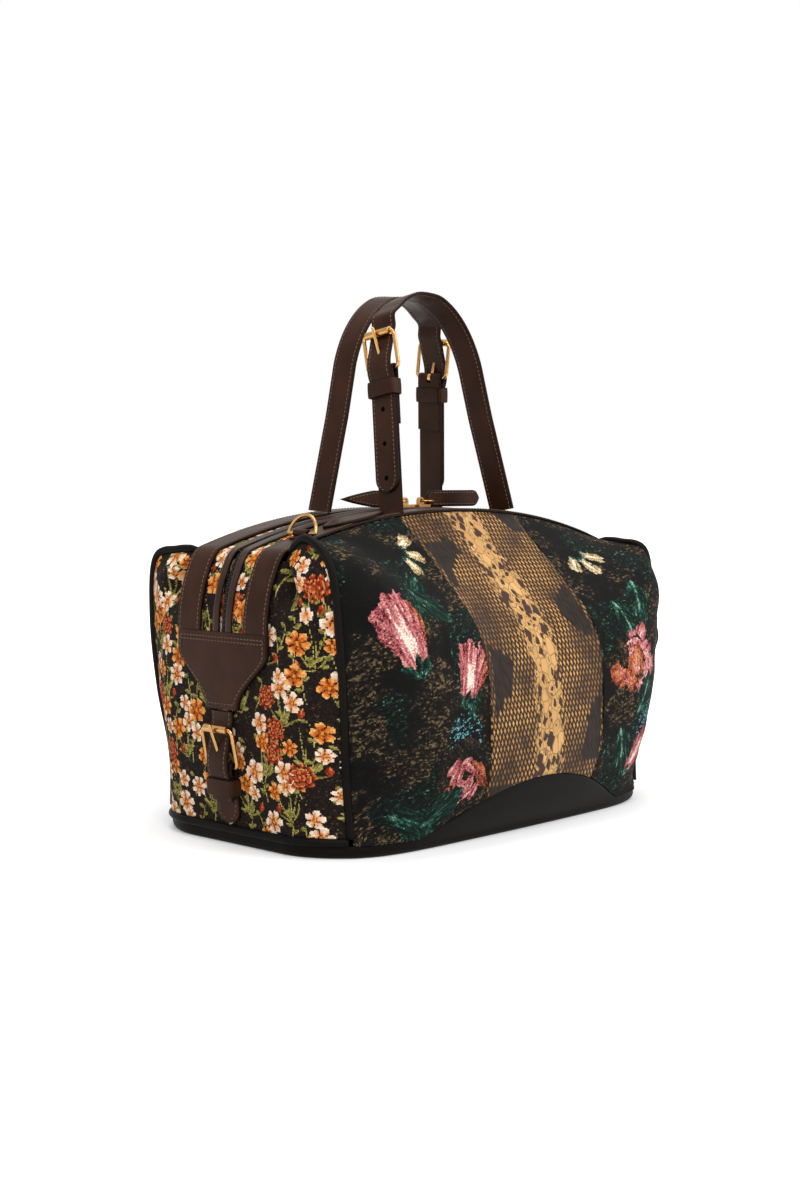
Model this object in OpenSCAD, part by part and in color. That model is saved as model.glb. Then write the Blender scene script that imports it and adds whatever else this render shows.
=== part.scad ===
// Soft barrel tote: six side panels and two end panels over a leather base, a zip between two
// leather bands, two buckled handles and a buckled strap on each end.
// X runs along the bag, -Y is the front, +Z is up, and the origin is the middle of the foot.
// The bag looks the same after half a turn about Z, so each pair is drawn once and turned.

/* [Body] */
// Length from end seam to end seam, at half height
body_l = 352; // [340:1:380]
// Depth from seam to seam
body_d = 202; // [190:1:220]
// Height of the ridge above the floor
body_h = 234; // [226:1:250]
// How far the front and back swell past the seams
front_bulge = 36; // [20:1:40]
// How far each end swells past its seam
end_bulge = 18; // [10:1:20]
// How far each end seam leans in at the foot
toe_in = 13; // [4:1:16]
// Fall of the ridge from its middle to the end seams
ridge_drop = 26; // [18:1:30]
// Height of the two raised corner ears below the ridge
tall_ear_drop = 14; // [10:1:20]
// Height of the two soft corner ears below the ridge
low_ear_drop = 25; // [20:1:30]
// Depth of the crease between an ear and its band
crease_depth = 11; // [2:1:14]
// Height of the soft folds on the side panels
fold_height = 2.5; // [0:0.5:4]
// Thickness of the lined fabric
skin_t = 2.6; // [2:0.2:3.4]
// Gap between neighbouring pieces
seam_gap = 0.3; // [0.2:0.1:0.5]
// Width of the python centre panels
python_w = 130; // [100:1:160]
// Diameter of the piping on the end seams
piping_d = 5.2; // [4:0.2:6]

/* [Base] */
// Height of the leather rim above the floor
base_rim = 9; // [8:1:14]
// Height that the rim rises at the middle of front and back
base_rise = 34; // [10:1:45]
// Half length of the rise
base_reach = 125; // [100:1:140]
// Thickness of the base leather
base_t = 3; // [2:0.5:4]
// Thickness of the stiffening board
board_t = 3; // [2:0.5:4]

/* [Top] */
// Width of the long leather bands
band_w = 25; // [20:1:28]
// Distance of the band's middle from the zip
band_y = 35; // [33:1:38]
// Thickness of bands, bindings and straps
leather_t = 2.2; // [1.8:0.1:2.4]
// Thickness of the fabric strips beside the zip
strip_t = 1.2; // [1:0.1:1.6]
// Width of the zip bindings
binding_w = 6.5; // [5:0.5:8]
// Width of the slit between the bindings
zip_slit = 7; // [6:0.5:9]

/* [Handles] */
// Height of the handle tops above the ridge
handle_rise = 170; // [156:1:186]
// Distance of the buckled leg's foot from the middle
handle_foot = 61; // [56:1:66]
// Distance of the plain leg's foot from the middle
plain_foot = 67; // [60:1:70]
// Half width of the arch on the buckled leg
arch_r = 49; // [45:1:54]
// Height of the arch above the end of the buckled leg
arch_h = 39; // [34:1:44]
// Half width of the arch on the plain leg
plain_r = 50; // [45:1:54]
// Height of the arch above the end of the plain leg
plain_h = 75; // [60:1:90]
// How far the top of the arch lies towards the buckled leg
arch_shift = 3; // [0:1:6]
// Width of the handle straps and end straps
strap_w = 24; // [22:1:25]
// Lean of the front handle towards the middle
front_lean = 9; // [0:1:10]
// Lean of the back handle towards the middle
back_lean = 4.5; // [0:0.5:10]
// Height of the handle buckle's bar above the ridge
bar_rise = 109; // [101:1:112]
// Length of the sewn lens-shaped tabs
lens_l = 62; // [50:1:66]

/* [End straps] */
// Height of the patch's top edge
patch_top = 153; // [148:1:158]
// Height of the patch's bottom edge
patch_foot = 99; // [97:1:104]
// Half width of the patch's bottom edge
patch_neck = 17; // [15:1:20]
// Height of the end buckle's bar
end_bar_z = 58; // [54:1:60]
// Length of the lower strap below the bar
chape_l = 41; // [30:1:41]

/* [Metal] */
// Wire of the buckles and rings
wire_d = 3; // [2.4:0.2:3.2]
// Length of the buckle from bar to roller
buckle_l = 28; // [26:1:30]
// Outer diameter of the roller
roller_d = 6; // [5.4:0.2:6.4]
// Thickness of the prong
prong_d = 2.6; // [2:0.2:2.8]
// Room between metal pieces that turn on each other
turn_gap = 0.3; // [0.2:0.05:0.4]
// Radius of the D-ring's bow
ring_r = 13.5; // [12:0.5:15]

/* [Zip pulls] */
// Length of the leather pull tab
pull_l = 57; // [40:1:60]
// Height of the leather pull tab
pull_h = 13; // [11:1:16]
// Radius of the pull's ring
pull_ring_r = 6; // [5:0.5:7]

/* [Hidden] */

$fn = 40;
BROWN = "#3e2c24";
BLACK = "#191716";
GOLD = "#c8964f";
FLOWERS = "#5a3d28";
ROSES = "#24332c";
PYTHON = "#be9664";

half_l = body_l / 2;
half_d = body_d / 2;
// The side panels start beside the bands, a little above the fabric strips
ribbon_half = band_y + band_w / 2 + seam_gap;
panel_lift = 1.5;
// Shape powers: how square the side panels are in plan, and how the ridge falls
plan_power = 8;
ridge_power = 2.2;

// Smooth curve through the points of p, from p[lead] at t = 0 to the last point at t = 1
function spline(p, t, lead = 0) =
    let (n = len(p) - 1 - lead)
    let (i = max(0, min(floor(t * n), n - 1)) + lead)
    let (f = t * n - (i - lead))
    let (a = p[max(i - 1, 0)], b = p[i], c = p[i + 1], d = p[min(i + 2, len(p) - 1)])
    0.5 * (2 * b + (c - a) * f + (2 * a - 5 * b + 4 * c - d) * f * f
        + (3 * b - 3 * c + d - a) * f * f * f);
function lerp(a, b, t) = a + (b - a) * t;
function ease(t) = let (k = min(max(t, 0), 1)) k * k * (3 - 2 * k);
function ridge_z(x) = body_h - ridge_drop * pow(abs(x) / half_l, ridge_power);

// Section of the back at mid length, as y and z from the band down to the foot
middle_line = [
    [0, ribbon_half, body_h + panel_lift],
    [0, half_d - 0.2 * front_bulge, 0.79 * body_h],
    [0, half_d + 0.74 * front_bulge, 0.61 * body_h],
    [0, half_d + front_bulge, 0.42 * body_h],
    [0, half_d + 0.98 * front_bulge, 0.22 * body_h],
    [0, half_d + 0.68 * front_bulge, 0.09 * body_h],
    [0, half_d + 0.25 * front_bulge, 0]
];
// Line of an end seam, over its ear and down to the foot, with x and y outwards
function seam_line(ear_drop) = [
    [half_l, ribbon_half, body_h - ridge_drop + panel_lift],
    [half_l + 3, 0.68 * half_d, body_h - ear_drop],
    [half_l + 4, 0.92 * half_d, 0.86 * body_h],
    [half_l + 2, 0.98 * half_d, 0.665 * body_h],
    [half_l - 0.25 * toe_in, 0.97 * half_d, 0.445 * body_h],
    [half_l - 0.8 * toe_in, 0.92 * half_d, 0.227 * body_h],
    [half_l - toe_in, 0.95 * half_d, 0]
];
tall_seam = seam_line(tall_ear_drop);
low_seam = seam_line(low_ear_drop);
// Middle line of the right end, from the ridge down to the foot, with a lead-in point on the ridge
end_line = [
    [0.86 * half_l, ridge_z(0.86 * half_l)],
    [half_l, body_h - ridge_drop],
    [half_l + 0.56 * end_bulge, 0.82 * body_h],
    [half_l + 0.85 * end_bulge, 0.745 * body_h],
    [half_l + 0.96 * end_bulge, 0.665 * body_h],
    [half_l + end_bulge, 0.445 * body_h],
    [half_l + 0.95 * end_bulge - 0.1 * toe_in, 0.227 * body_h],
    [half_l + 0.75 * end_bulge - 0.3 * toe_in, 0]
];
// The right end's back seam (side 1) has a raised ear, and its front seam (side -1) a soft one
function seam(t, side = 1) = spline(side > 0 ? tall_seam : low_seam, t);
function end_mid(t) = spline(end_line, t, 1);

// Back surface: s runs from the left seam (-1) to the right seam (1), t from the band to the foot
function fold(s, t) =
    fold_height * pow(sin(180 * min(max(t, 0), 1)), 1.5) * s * s * (1 - pow(abs(s), 6))
    * sin(360 * (2.3 * s + 1.2 * t));
function back_point(s, t) =
    let (m = spline(middle_line, t), c = seam(t, s))
    let (wy = 1 - pow(abs(s), plan_power), wz = 1 - pow(abs(s), ridge_power))
    [s * c.x, lerp(c.y, m.y, wy) + fold(s, t), lerp(c.z, m.z, wz)];

// Right end: u runs from the front seam (-1) to the back seam (1), t from the ridge to the foot.
// The middle half of u lies flat under the ribbon, and the rest swells out and falls to the seam.
crease_end = 0.46;
panel_edge = piping_d / 2 + seam_gap + 0.2;
function end_point(u, t) =
    let (c = seam(t, u), m = end_mid(t))
    let (k = max(0, 2 * abs(u) - 1), reach = max(c.y - panel_edge, ribbon_half + 1) - ribbon_half)
    let (y = k > 0 ? ribbon_half + k * reach : 2 * abs(u) * ribbon_half)
    let (share = max(0, y - ribbon_half) / max(c.y - ribbon_half, 1), w = pow(min(share, 1), 2.2))
    let (depth = crease_depth * pow(sin(180 * min(max(t / crease_end, 0), 1)), 2))
    let (valley = depth * pow(sin(180 * min(1, k / 0.6)), 2))
    let (lobe = 0.35 * depth * pow(sin(180 * max(0, (k - 0.4) / 0.6)), 2))
    [lerp(m.x, c.x, w) + lobe - valley, sign(u) * y, lerp(m.y, c.z, w)];

// Value of t at which a falling curve z(t) reaches the height wanted
function t_at(height, curve, lo = 0.5, hi = 1, n = 24) =
    let (mid = (lo + hi) / 2)
    n == 0 ? mid
    : curve(mid) > height ? t_at(height, curve, mid, hi, n - 1) : t_at(height, curve, lo, mid, n - 1);

// Top edge of the leather base, as a height over x
function base_line(x) = base_rim + base_rise * pow(max(0, 1 - pow(x / base_reach, 2)), 1.2);
function back_t(s, height) = t_at(height, function (t) back_point(s, t).z);
function end_t(height) = t_at(height, function (t) seam(t).z);

// Closed shell of thickness skin_t under a grid of surface points; turn is 1 or -1 for its winding
module shell(point_on, a_values, b_of, b_steps, turn) {
    na = len(a_values);
    nb = b_steps + 1;
    h = 0.002;
    at = [for (a = a_values, j = [0 : b_steps]) [a, lerp(b_of(a)[0], b_of(a)[1], j / b_steps)]];
    outer = [for (q = at) point_on(q[0], q[1])];
    normals = [for (q = at)
        let (da = point_on(q[0] + h, q[1]) - point_on(q[0] - h, q[1]))
        let (db = point_on(q[0], q[1] + h) - point_on(q[0], q[1] - h))
        let (c = cross(da, db) * turn) c / norm(c)];
    inner = [for (i = [0 : len(outer) - 1]) outer[i] - skin_t * normals[i]];
    n = len(outer);
    quads = [for (i = [0 : na - 2], j = [0 : nb - 2])
        let (k = i * nb + j) [k, k + nb, k + nb + 1, k + 1]];
    rim = concat(
        [for (j = [0 : nb - 2]) j],
        [for (i = [0 : na - 2]) i * nb + nb - 1],
        [for (j = [nb - 1 : -1 : 1]) (na - 1) * nb + j],
        [for (i = [na - 1 : -1 : 1]) i * nb]
    );
    m = len(rim);
    walls = [for (k = [0 : m - 1]) let (p = rim[k], q = rim[(k + 1) % m]) [p, q, q + n, p + n]];
    sides = concat(
        [for (q = quads) [q[3], q[2], q[1], q[0]]],
        [for (q = quads) [q[0] + n, q[1] + n, q[2] + n, q[3] + n]],
        [for (w = walls) [w[3], w[2], w[1], w[0]]]
    );
    triangles = [for (f = sides) each [[f[0], f[1], f[2]], [f[0], f[2], f[3]]]];
    polyhedron(concat(outer, inner), turn > 0 ? triangles : [for (f = triangles) [f[2], f[1], f[0]]]);
}

// Round cord along a list of points, none of which lie along X
module piped(points, d, sides = 8) {
    n = len(points);
    rings = [for (i = [0 : n - 1])
        let (along = points[min(i + 1, n - 1)] - points[max(i - 1, 0)])
        let (tangent = along / norm(along))
        let (across = cross(tangent, abs(tangent.x) > 0.8 ? [0, 0, 1] : [1, 0, 0]))
        let (a = across / norm(across), b = cross(tangent, a))
        [for (k = [0 : sides - 1])
            points[i] + d / 2 * (cos(360 * k / sides) * a + sin(360 * k / sides) * b)]];
    faces = concat(
        [[for (k = [sides - 1 : -1 : 0]) k]],
        [for (i = [0 : n - 2], k = [0 : sides - 1])
            let (l = (k + 1) % sides) each [
                [i * sides + k, i * sides + l, (i + 1) * sides + l],
                [i * sides + k, (i + 1) * sides + l, (i + 1) * sides + k]]],
        [[for (k = [0 : sides - 1]) (n - 1) * sides + k]]
    );
    polyhedron([for (r = rings) each r], [for (f = faces) [for (i = [len(f) - 1 : -1 : 0]) f[i]]]);
}

module half_turn() {
    rotate([0, 0, 180]) children();
}

// Side panels
module back_panel(x_from, x_to, steps, tint) {
    s_values = [for (i = [0 : steps]) lerp(x_from, x_to, i / steps) / half_l];
    color(tint) shell(
        function (s, t) back_point(s, t), s_values,
        function (s) [0, back_t(s, base_line(s * half_l) + seam_gap)], 22, 1);
}
module back_right_panel() {
    back_panel(python_w / 2 + seam_gap, half_l - panel_edge, 12, ROSES);
}
module back_left_panel() {
    back_panel(panel_edge - half_l, -python_w / 2 - seam_gap, 12, ROSES);
}
module back_centre_panel() {
    back_panel(-python_w / 2, python_w / 2, 10, PYTHON);
}
module front_left_panel() {
    half_turn() back_right_panel();
}
module front_right_panel() {
    half_turn() back_left_panel();
}
module front_centre_panel() {
    half_turn() back_centre_panel();
}

// End panels, down to the bead of piping on the base rim
bead_z = base_rim + seam_gap + piping_d / 2;
end_foot = bead_z + piping_d / 2 + seam_gap;
module right_end_panel() {
    color(FLOWERS) shell(
        function (u, t) end_point(u, t), [for (i = [-10 : 10]) i / 10],
        function (u) [0.05, end_t(end_foot)], 22, -1);
}
module left_end_panel() {
    half_turn() right_end_panel();
}

// Piping down both seams of an end, from beside the band, and along its foot
module right_piping() {
    steps = 22;
    last_t = end_t(base_rim + seam_gap + piping_d);
    first_t = 0.07;
    function seam_run(side) = [for (i = [0 : steps])
        let (p = seam(lerp(first_t, last_t, i / steps), side)) [p.x, side * p.y, p.z]];
    bead_t = end_t(bead_z);
    color(BLACK) {
        piped(seam_run(1), piping_d);
        piped(seam_run(-1), piping_d);
        piped([for (i = [-10 : 10]) end_point(i / 10, bead_t)], piping_d);
    }
}
module left_piping() {
    half_turn() right_piping();
}

// Leather base: a tray whose wall rises in an arch at front and back
edge_round = 4.5;
function tray_point(side, k, height) =
    let (t_end = end_t(height))
    side == 0 ? let (p = back_point(k, back_t(k, height))) [-p.x, -p.y, height]
    : side == 1 ? let (p = end_point(k, t_end)) [p.x, p.y, height]
    : side == 2 ? let (p = back_point(k, back_t(k, height))) [p.x, p.y, height]
    : let (p = end_point(k, t_end)) [-p.x, -p.y, height];
function inset(p, d) = [p.x * (1 - d / half_l), p.y * (1 - d / half_d), p.z];
module base_panel() {
    long_steps = 24;
    short_steps = 12;
    walk = concat(
        [for (i = [0 : long_steps - 1]) [0, 1 - 2 * i / long_steps]],
        [for (i = [0 : short_steps - 1]) [1, -1 + 2 * i / short_steps]],
        [for (i = [0 : long_steps - 1]) [2, 1 - 2 * i / long_steps]],
        [for (i = [0 : short_steps - 1]) [3, -1 + 2 * i / short_steps]]
    );
    n = len(walk);
    function rim_z(w) = w[0] % 2 == 0 ? base_line(w[1] * half_l) : base_rim;
    function loop(share, d) = [for (w = walk)
        inset(tray_point(w[0], w[1], max(0.01, edge_round + share * (rim_z(w) - edge_round))), d)];
    function flat_loop(height, d) = [for (w = walk)
        let (p = inset(tray_point(w[0], w[1], edge_round), d)) [p.x, p.y, height]];
    loops = [
        flat_loop(0, edge_round), flat_loop(0.3 * edge_round, 0.3 * edge_round),
        loop(0, 0), loop(0.33, 0), loop(0.67, 0), loop(1, 0),
        loop(1, base_t), loop(0.67, base_t), loop(0.33, base_t), loop(0, base_t),
        flat_loop(base_t, base_t + edge_round)
    ];
    rows = len(loops);
    faces = concat(
        [[for (k = [0 : n - 1]) k]],
        [for (i = [0 : rows - 2], k = [0 : n - 1])
            let (l = (k + 1) % n) each [
                [i * n + k, (i + 1) * n + l, i * n + l],
                [i * n + k, (i + 1) * n + k, (i + 1) * n + l]]],
        [[for (k = [n - 1 : -1 : 0]) (rows - 1) * n + k]]
    );
    color(BLACK) polyhedron([for (r = loops) each r], faces);
}

// Stiffening board that lies on the base
module base_board() {
    room = base_t + edge_round + 4;
    length = 2 * (half_l - toe_in - room);
    depth = 2 * (0.95 * half_d - room);
    corner = 20;
    color("#6b5a44") translate([0, 0, base_t + seam_gap]) linear_extrude(board_t) {
        square([length - 2 * corner, depth], center = true);
        square([length, depth - 2 * corner], center = true);
        for (x = [-1, 1], y = [-1, 1])
            translate([x * (length / 2 - corner), y * (depth / 2 - corner)]) circle(corner);
    }
}

// Ribbon: the line over the ridge and down both ends, on which bands, bindings and zip lie
function ribbon_line(end_height, top_steps = 24, end_steps = 10) =
    let (last = t_at(end_height, function (t) end_mid(t).y, 0, 1))
    let (drop = [for (i = [end_steps : -1 : 1]) end_mid(last * i / end_steps)])
    concat(
        [for (p = drop) [-p.x, p.y]],
        [for (i = [-top_steps : top_steps]) let (x = half_l * i / top_steps) [x, ridge_z(x)]],
        [for (i = [len(drop) - 1 : -1 : 0]) drop[i]]
    );
function lifted(line, height) = [for (i = [0 : len(line) - 1])
    let (d = line[min(i + 1, len(line) - 1)] - line[max(i - 1, 0)])
    line[i] + height / norm(d) * [-d.y, d.x]];
module along_y(width, y) {
    translate([0, y + width / 2, 0]) rotate([90, 0, 0]) linear_extrude(width) children();
}
module ribbon(line, low, high, width, y) {
    top = lifted(line, high);
    along_y(width, y) polygon(concat(lifted(line, low), [for (i = [len(top) - 1 : -1 : 0]) top[i]]));
}
strip_low = seam_gap;
strip_high = strip_low + strip_t;
band_low = strip_high + seam_gap;
band_high = band_low + leather_t;
patch_gap = seam_gap;
module back_zip_strip() {
    inner = zip_slit / 2;
    tuck = 2;
    outer = ribbon_half - tuck;
    color(FLOWERS) ribbon(ribbon_line(patch_top + patch_gap), strip_low, strip_high,
        outer - inner, (inner + outer) / 2);
}
module front_zip_strip() {
    half_turn() back_zip_strip();
}
module back_band() {
    color(BROWN) ribbon(ribbon_line(patch_top + patch_gap), band_low, band_high, band_w, band_y);
}
module front_band() {
    half_turn() back_band();
}
module back_zip_binding() {
    color(BROWN) ribbon(ribbon_line(patch_top + patch_gap), band_low, band_high,
        binding_w, zip_slit / 2 + binding_w / 2);
}
module front_zip_binding() {
    half_turn() back_zip_binding();
}
// Zip: tape under the strips on the top, and the chain in the slit all the way
chain_w = zip_slit - 2;
chain_high = strip_high + seam_gap;
tape_w = 26;
tape_t = 1.6;
module zip_chain() {
    line = ribbon_line(patch_top + patch_gap);
    top = [for (i = [-20 : 20]) let (x = 0.95 * half_l * i / 20) [x, ridge_z(x)]];
    color("#1e1a18") {
        ribbon(line, strip_low, chain_high, chain_w, 0);
        ribbon(top, -tape_t, strip_low - 0.1, tape_w, 0);
        ribbon(top, -tape_t, strip_low + 0.2, chain_w, 0);
    }
}

// Shield patch on the end, under the ends of the bands
patch_w = 2 * (band_y + band_w / 2);
patch_high = band_high;
module right_end_patch() {
    shoulder = 15;
    line = ribbon_line(patch_foot - 4);
    steps = 14;
    half_side = [for (i = [0 : steps])
        let (z = lerp(patch_top - shoulder, patch_foot, i / steps))
        [lerp(patch_w / 2, patch_neck, ease(pow(i / steps, 0.8))), z]];
    outline = concat([[patch_w / 2, patch_top]], half_side);
    color(BROWN) intersection() {
        ribbon(line, strip_low, patch_high, patch_w + 2, 0);
        rotate([90, 0, 90]) linear_extrude(body_l) polygon(concat(
            outline, [for (i = [len(outline) - 1 : -1 : 0]) [-outline[i].x, outline[i].y]]));
    }
}
module left_end_patch() {
    half_turn() right_end_patch();
}

// Buckle fittings, drawn with the bar along Y through the origin, X outwards and Z up the strap
bar_r = wire_d / 2;
ply_t = leather_t - 0.4;
ply_gap = 0.15;
fold_r = bar_r + turn_gap;
loop_r = fold_r + ply_t;
buckle_half = strap_w / 2 + 2.2 + bar_r;
buckle_corner = 4;
buckle_tilt = 8;
prong_w = 3;
roller_bore = wire_d + 2 * turn_gap;
module rod(from_y, to_y, d) {
    translate([0, to_y, 0]) rotate([90, 0, 0]) cylinder(h = to_y - from_y, d = d);
}
module wire_corner(y, z, turn) {
    translate([0, y, z]) rotate([turn, 0, 0]) rotate([0, 90, 0])
        rotate_extrude(angle = 90) translate([buckle_corner, 0]) circle(d = wire_d);
}
module buckle_frame() {
    flat = buckle_half - buckle_corner;
    color(GOLD) rotate([0, buckle_tilt, 0]) {
        rod(-flat, flat, wire_d);
        translate([0, 0, buckle_l]) rod(-flat, flat, wire_d);
        for (y = [-1, 1]) translate([0, y * buckle_half, buckle_corner])
            cylinder(h = buckle_l - 2 * buckle_corner, d = wire_d);
        wire_corner(flat, buckle_corner, 0);
        wire_corner(flat, buckle_l - buckle_corner, 90);
        wire_corner(-flat, buckle_l - buckle_corner, 180);
        wire_corner(-flat, buckle_corner, 270);
    }
}
module buckle_roller() {
    color(GOLD) rotate([0, buckle_tilt, 0]) translate([0, 0, buckle_l]) difference() {
        rod(-strap_w / 2, strap_w / 2, roller_d);
        rod(-strap_w, strap_w, roller_bore);
    }
}
// Prong: an eye on the bar and a shank that rests on the roller
prong_lean = buckle_tilt + asin((roller_d / 2 + prong_d / 2 + turn_gap) / buckle_l);
prong_reach = buckle_l + 4;
module buckle_prong() {
    color(GOLD) rotate([0, prong_lean, 0]) difference() {
        union() {
            rod(-prong_w / 2, prong_w / 2, 2 * loop_r);
            cylinder(h = prong_reach, d = prong_d);
            translate([0, 0, prong_reach]) sphere(d = prong_d);
        }
        rod(-prong_w, prong_w, 2 * fold_r);
    }
}
// Folded lower strap round the bar, with a slot for the prong's eye; the reaches are the lengths
// below the bar of its inner ply and its outer ply
module chape(inner_reach, outer_reach) {
    meet = -12;
    arc = [for (i = [0 : 16]) let (a = 180 - 180 * i / 16) loop_r * [cos(a), sin(a)]];
    outer_face = -fold_r + ply_t + ply_gap;
    profile = concat(
        [[-loop_r, -inner_reach]], arc,
        [[outer_face, meet], [outer_face, -outer_reach], [-fold_r, -outer_reach], [-fold_r, -inner_reach]]);
    color(BROWN) difference() {
        along_y(strap_w, 0) polygon(profile);
        rod(-strap_w, strap_w, 2 * fold_r);
        translate([-2 * loop_r, -prong_w / 2 - turn_gap, -loop_r - turn_gap])
            cube([4 * loop_r, prong_w + 2 * turn_gap, 4 * loop_r]);
    }
}
// Middle line of the strap that comes down under the roller and over the bar
over_bar = loop_r + seam_gap + leather_t / 2;
on_chape = -fold_r + ply_t + ply_gap + seam_gap + leather_t / 2;
under_roller = buckle_l * sin(buckle_tilt) - roller_d / 2 - seam_gap - leather_t / 2;
straight_from = 15;
function billet_line(top, reach) = let (runs = round((reach - straight_from) / 9)) [
    [-loop_r + leather_t / 2, top],
    [min(under_roller, -loop_r + leather_t / 2), buckle_l + 5],
    [under_roller, buckle_l - 1],
    [lerp(under_roller, over_bar, 0.45), 0.62 * buckle_l],
    [0.9 * over_bar, 0.3 * buckle_l],
    [over_bar + 0.1, 0.06 * buckle_l],
    [0.9 * over_bar, -3.5],
    [lerp(on_chape, over_bar, 0.3), -9],
    for (i = [0 : runs]) [on_chape, lerp(-straight_from, -reach, i / runs)]
];
// Band of thickness leather_t about a middle line, as a polygon
function thick(line) =
    let (a = lifted(line, leather_t / 2), b = lifted(line, -leather_t / 2))
    concat(a, [for (i = [len(b) - 1 : -1 : 0]) b[i]]);
function smooth_line(line) =
    let (steps = 3 * (len(line) - 1)) [for (i = [0 : steps]) spline(line, i / steps)];
// Oblong hole that lets the prong swing
module prong_hole() {
    low = 2.5;
    high = 0.68 * buckle_l;
    hole_w = prong_d + 1;
    translate([0, -hole_w / 2, low]) cube([4 * loop_r, hole_w, high - low]);
    for (z = [low, high]) translate([0, 0, z]) rotate([0, 90, 0]) cylinder(h = 4 * loop_r, d = hole_w);
}
// Rounds off the free end of a strap that ends at z
module tip_cutter(z, x, depth) {
    r = 0.55 * strap_w;
    translate([x, 0, 0]) rotate([90, 0, 90]) linear_extrude(depth) difference() {
        translate([-strap_w, z - 1]) square([2 * strap_w, 0.4 * strap_w]);
        translate([0, z + r]) circle(r);
    }
}

// End straps
end_lean = atan2(end_mid(end_t(end_bar_z + 15)).x - end_mid(end_t(end_bar_z - 15)).x, 30);
end_bar_out = loop_r + seam_gap;
module on_right_end() {
    p = end_mid(end_t(end_bar_z));
    translate([p.x, 0, p.y]) rotate([0, end_lean, 0]) translate([end_bar_out, 0, 0]) children();
}
keeper_top = -8;
keeper_h = 12;
keeper_t = 1.4;
billet_reach = 24;
module right_end_strap() {
    top = (patch_foot - end_bar_z) / cos(end_lean) - 5 * seam_gap;
    line = smooth_line(billet_line(top, billet_reach));
    color(BROWN) on_right_end() difference() {
        along_y(strap_w - 2, 0) polygon(thick(line));
        prong_hole();
    }
}
module left_end_strap() {
    half_turn() right_end_strap();
}
// Length of the end chape's outer ply below the bar
end_ply_l = 18;
module right_end_chape() {
    color(BROWN) on_right_end() difference() {
        chape(chape_l, end_ply_l);
        tip_cutter(-chape_l, -2 * loop_r, 4 * loop_r);
    }
}
module left_end_chape() {
    half_turn() right_end_chape();
}
// Keeper: a leather loop round the straps, from x = low; on the ends it is open behind, and its
// feet are sewn to the panel
module keeper(low, open_behind) {
    inside = lerp(on_chape, over_bar, 0.45) + leather_t / 2 + seam_gap;
    room = strap_w / 2 + seam_gap;
    hole_low = open_behind ? low - 1 : low + keeper_t;
    translate([0, 0, keeper_top - keeper_h]) linear_extrude(keeper_h) difference() {
        translate([low, -room - keeper_t]) square([inside + keeper_t - low, 2 * (room + keeper_t)]);
        translate([hole_low, -room]) square([inside - hole_low, 2 * room]);
    }
}
module right_end_keeper() {
    color(BROWN) on_right_end() keeper(-loop_r, true);
}
module left_end_keeper() {
    half_turn() right_end_keeper();
}
module right_end_buckle() {
    on_right_end() buckle_frame();
}
module left_end_buckle() {
    half_turn() right_end_buckle();
}
module right_end_roller() {
    on_right_end() buckle_roller();
}
module left_end_roller() {
    half_turn() right_end_roller();
}
module right_end_prong() {
    on_right_end() buckle_prong();
}
module left_end_prong() {
    half_turn() right_end_prong();
}

// Handles: drawn upright over the back band, with the buckle on the right leg, then leaned inwards
foot_z = ridge_z(handle_foot) + band_high + seam_gap;
handle_top = body_h + handle_rise;
handle_bar_z = body_h + bar_rise;
arch_z = handle_top - arch_h;
leg_lean = atan2(arch_r - handle_foot, arch_z - foot_z);
bar_x = lerp(handle_foot, arch_r, (handle_bar_z - foot_z) / (arch_z - foot_z));
leg_l = (handle_bar_z - foot_z) / cos(leg_lean);
module leaned(lean) {
    translate([0, band_y, foot_z]) rotate([lean, 0, 0]) translate([0, 0, -foot_z]) children();
}
module on_leg(lean) {
    leaned(lean) translate([bar_x, 0, handle_bar_z]) rotate([0, leg_lean, 0]) children();
}
function leg_point(p) = [
    bar_x + p.x * cos(leg_lean) + p.y * sin(leg_lean),
    handle_bar_z - p.x * sin(leg_lean) + p.y * cos(leg_lean)
];
// Everything below the band's surface is cut away, so the legs stand flat on it
module above_band() {
    difference() {
        children();
        translate([-body_l, -body_d, foot_z - body_h]) cube([2 * body_l, 2 * body_d, body_h]);
    }
}
tip_reach = 0.86;
hole_pitch = 26;
hole_d = 3.2;
module handle_strap(lean) {
    reach = tip_reach * leg_l;
    plain_z = handle_top - plain_h;
    peak = leather_t / 2;
    plain_leg = [for (k = [-0.08 : 0.16 : 0.9])
        [-lerp(plain_foot, plain_r, k), lerp(foot_z, plain_z, k)]];
    plain_arch = [for (a = [174 : -12 : 95])
        [arch_shift + (plain_r + arch_shift) * cos(a), plain_z + (plain_h - peak) * sin(a)]];
    buckle_arch = [for (a = [82 : -13 : 42])
        [arch_shift + (arch_r - arch_shift) * cos(a), arch_z + (arch_h - peak) * sin(a)]];
    billet = [for (p = billet_line(buckle_l + 14, reach)) leg_point(p)];
    line = smooth_line(concat(plain_leg, plain_arch, buckle_arch, billet));
    color(BROWN) above_band() difference() {
        leaned(lean) along_y(strap_w, 0) polygon(thick(line));
        on_leg(lean) prong_hole();
        on_leg(lean) tip_cutter(-reach, 0, 4 * loop_r);
        for (i = [1 : 3]) on_leg(lean) translate([0, 0, -4 - hole_pitch * i])
            rotate([0, 90, 0]) cylinder(h = 4 * loop_r, d = hole_d);
    }
}
// Length of the handle chape's inner ply below the bar, and what its outer ply is cut off below the foot
handle_ply_l = 42;
foot_overrun = 10;
module handle_chape(lean) {
    color(BROWN) above_band() on_leg(lean) chape(handle_ply_l, leg_l + foot_overrun);
}
module handle_keeper(lean) {
    color(BROWN) on_leg(lean) keeper(-loop_r - seam_gap - keeper_t, false);
}
module handle_buckle(lean) {
    on_leg(lean) buckle_frame();
}
module handle_roller(lean) {
    on_leg(lean) buckle_roller();
}
module handle_prong(lean) {
    on_leg(lean) buckle_prong();
}
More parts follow.
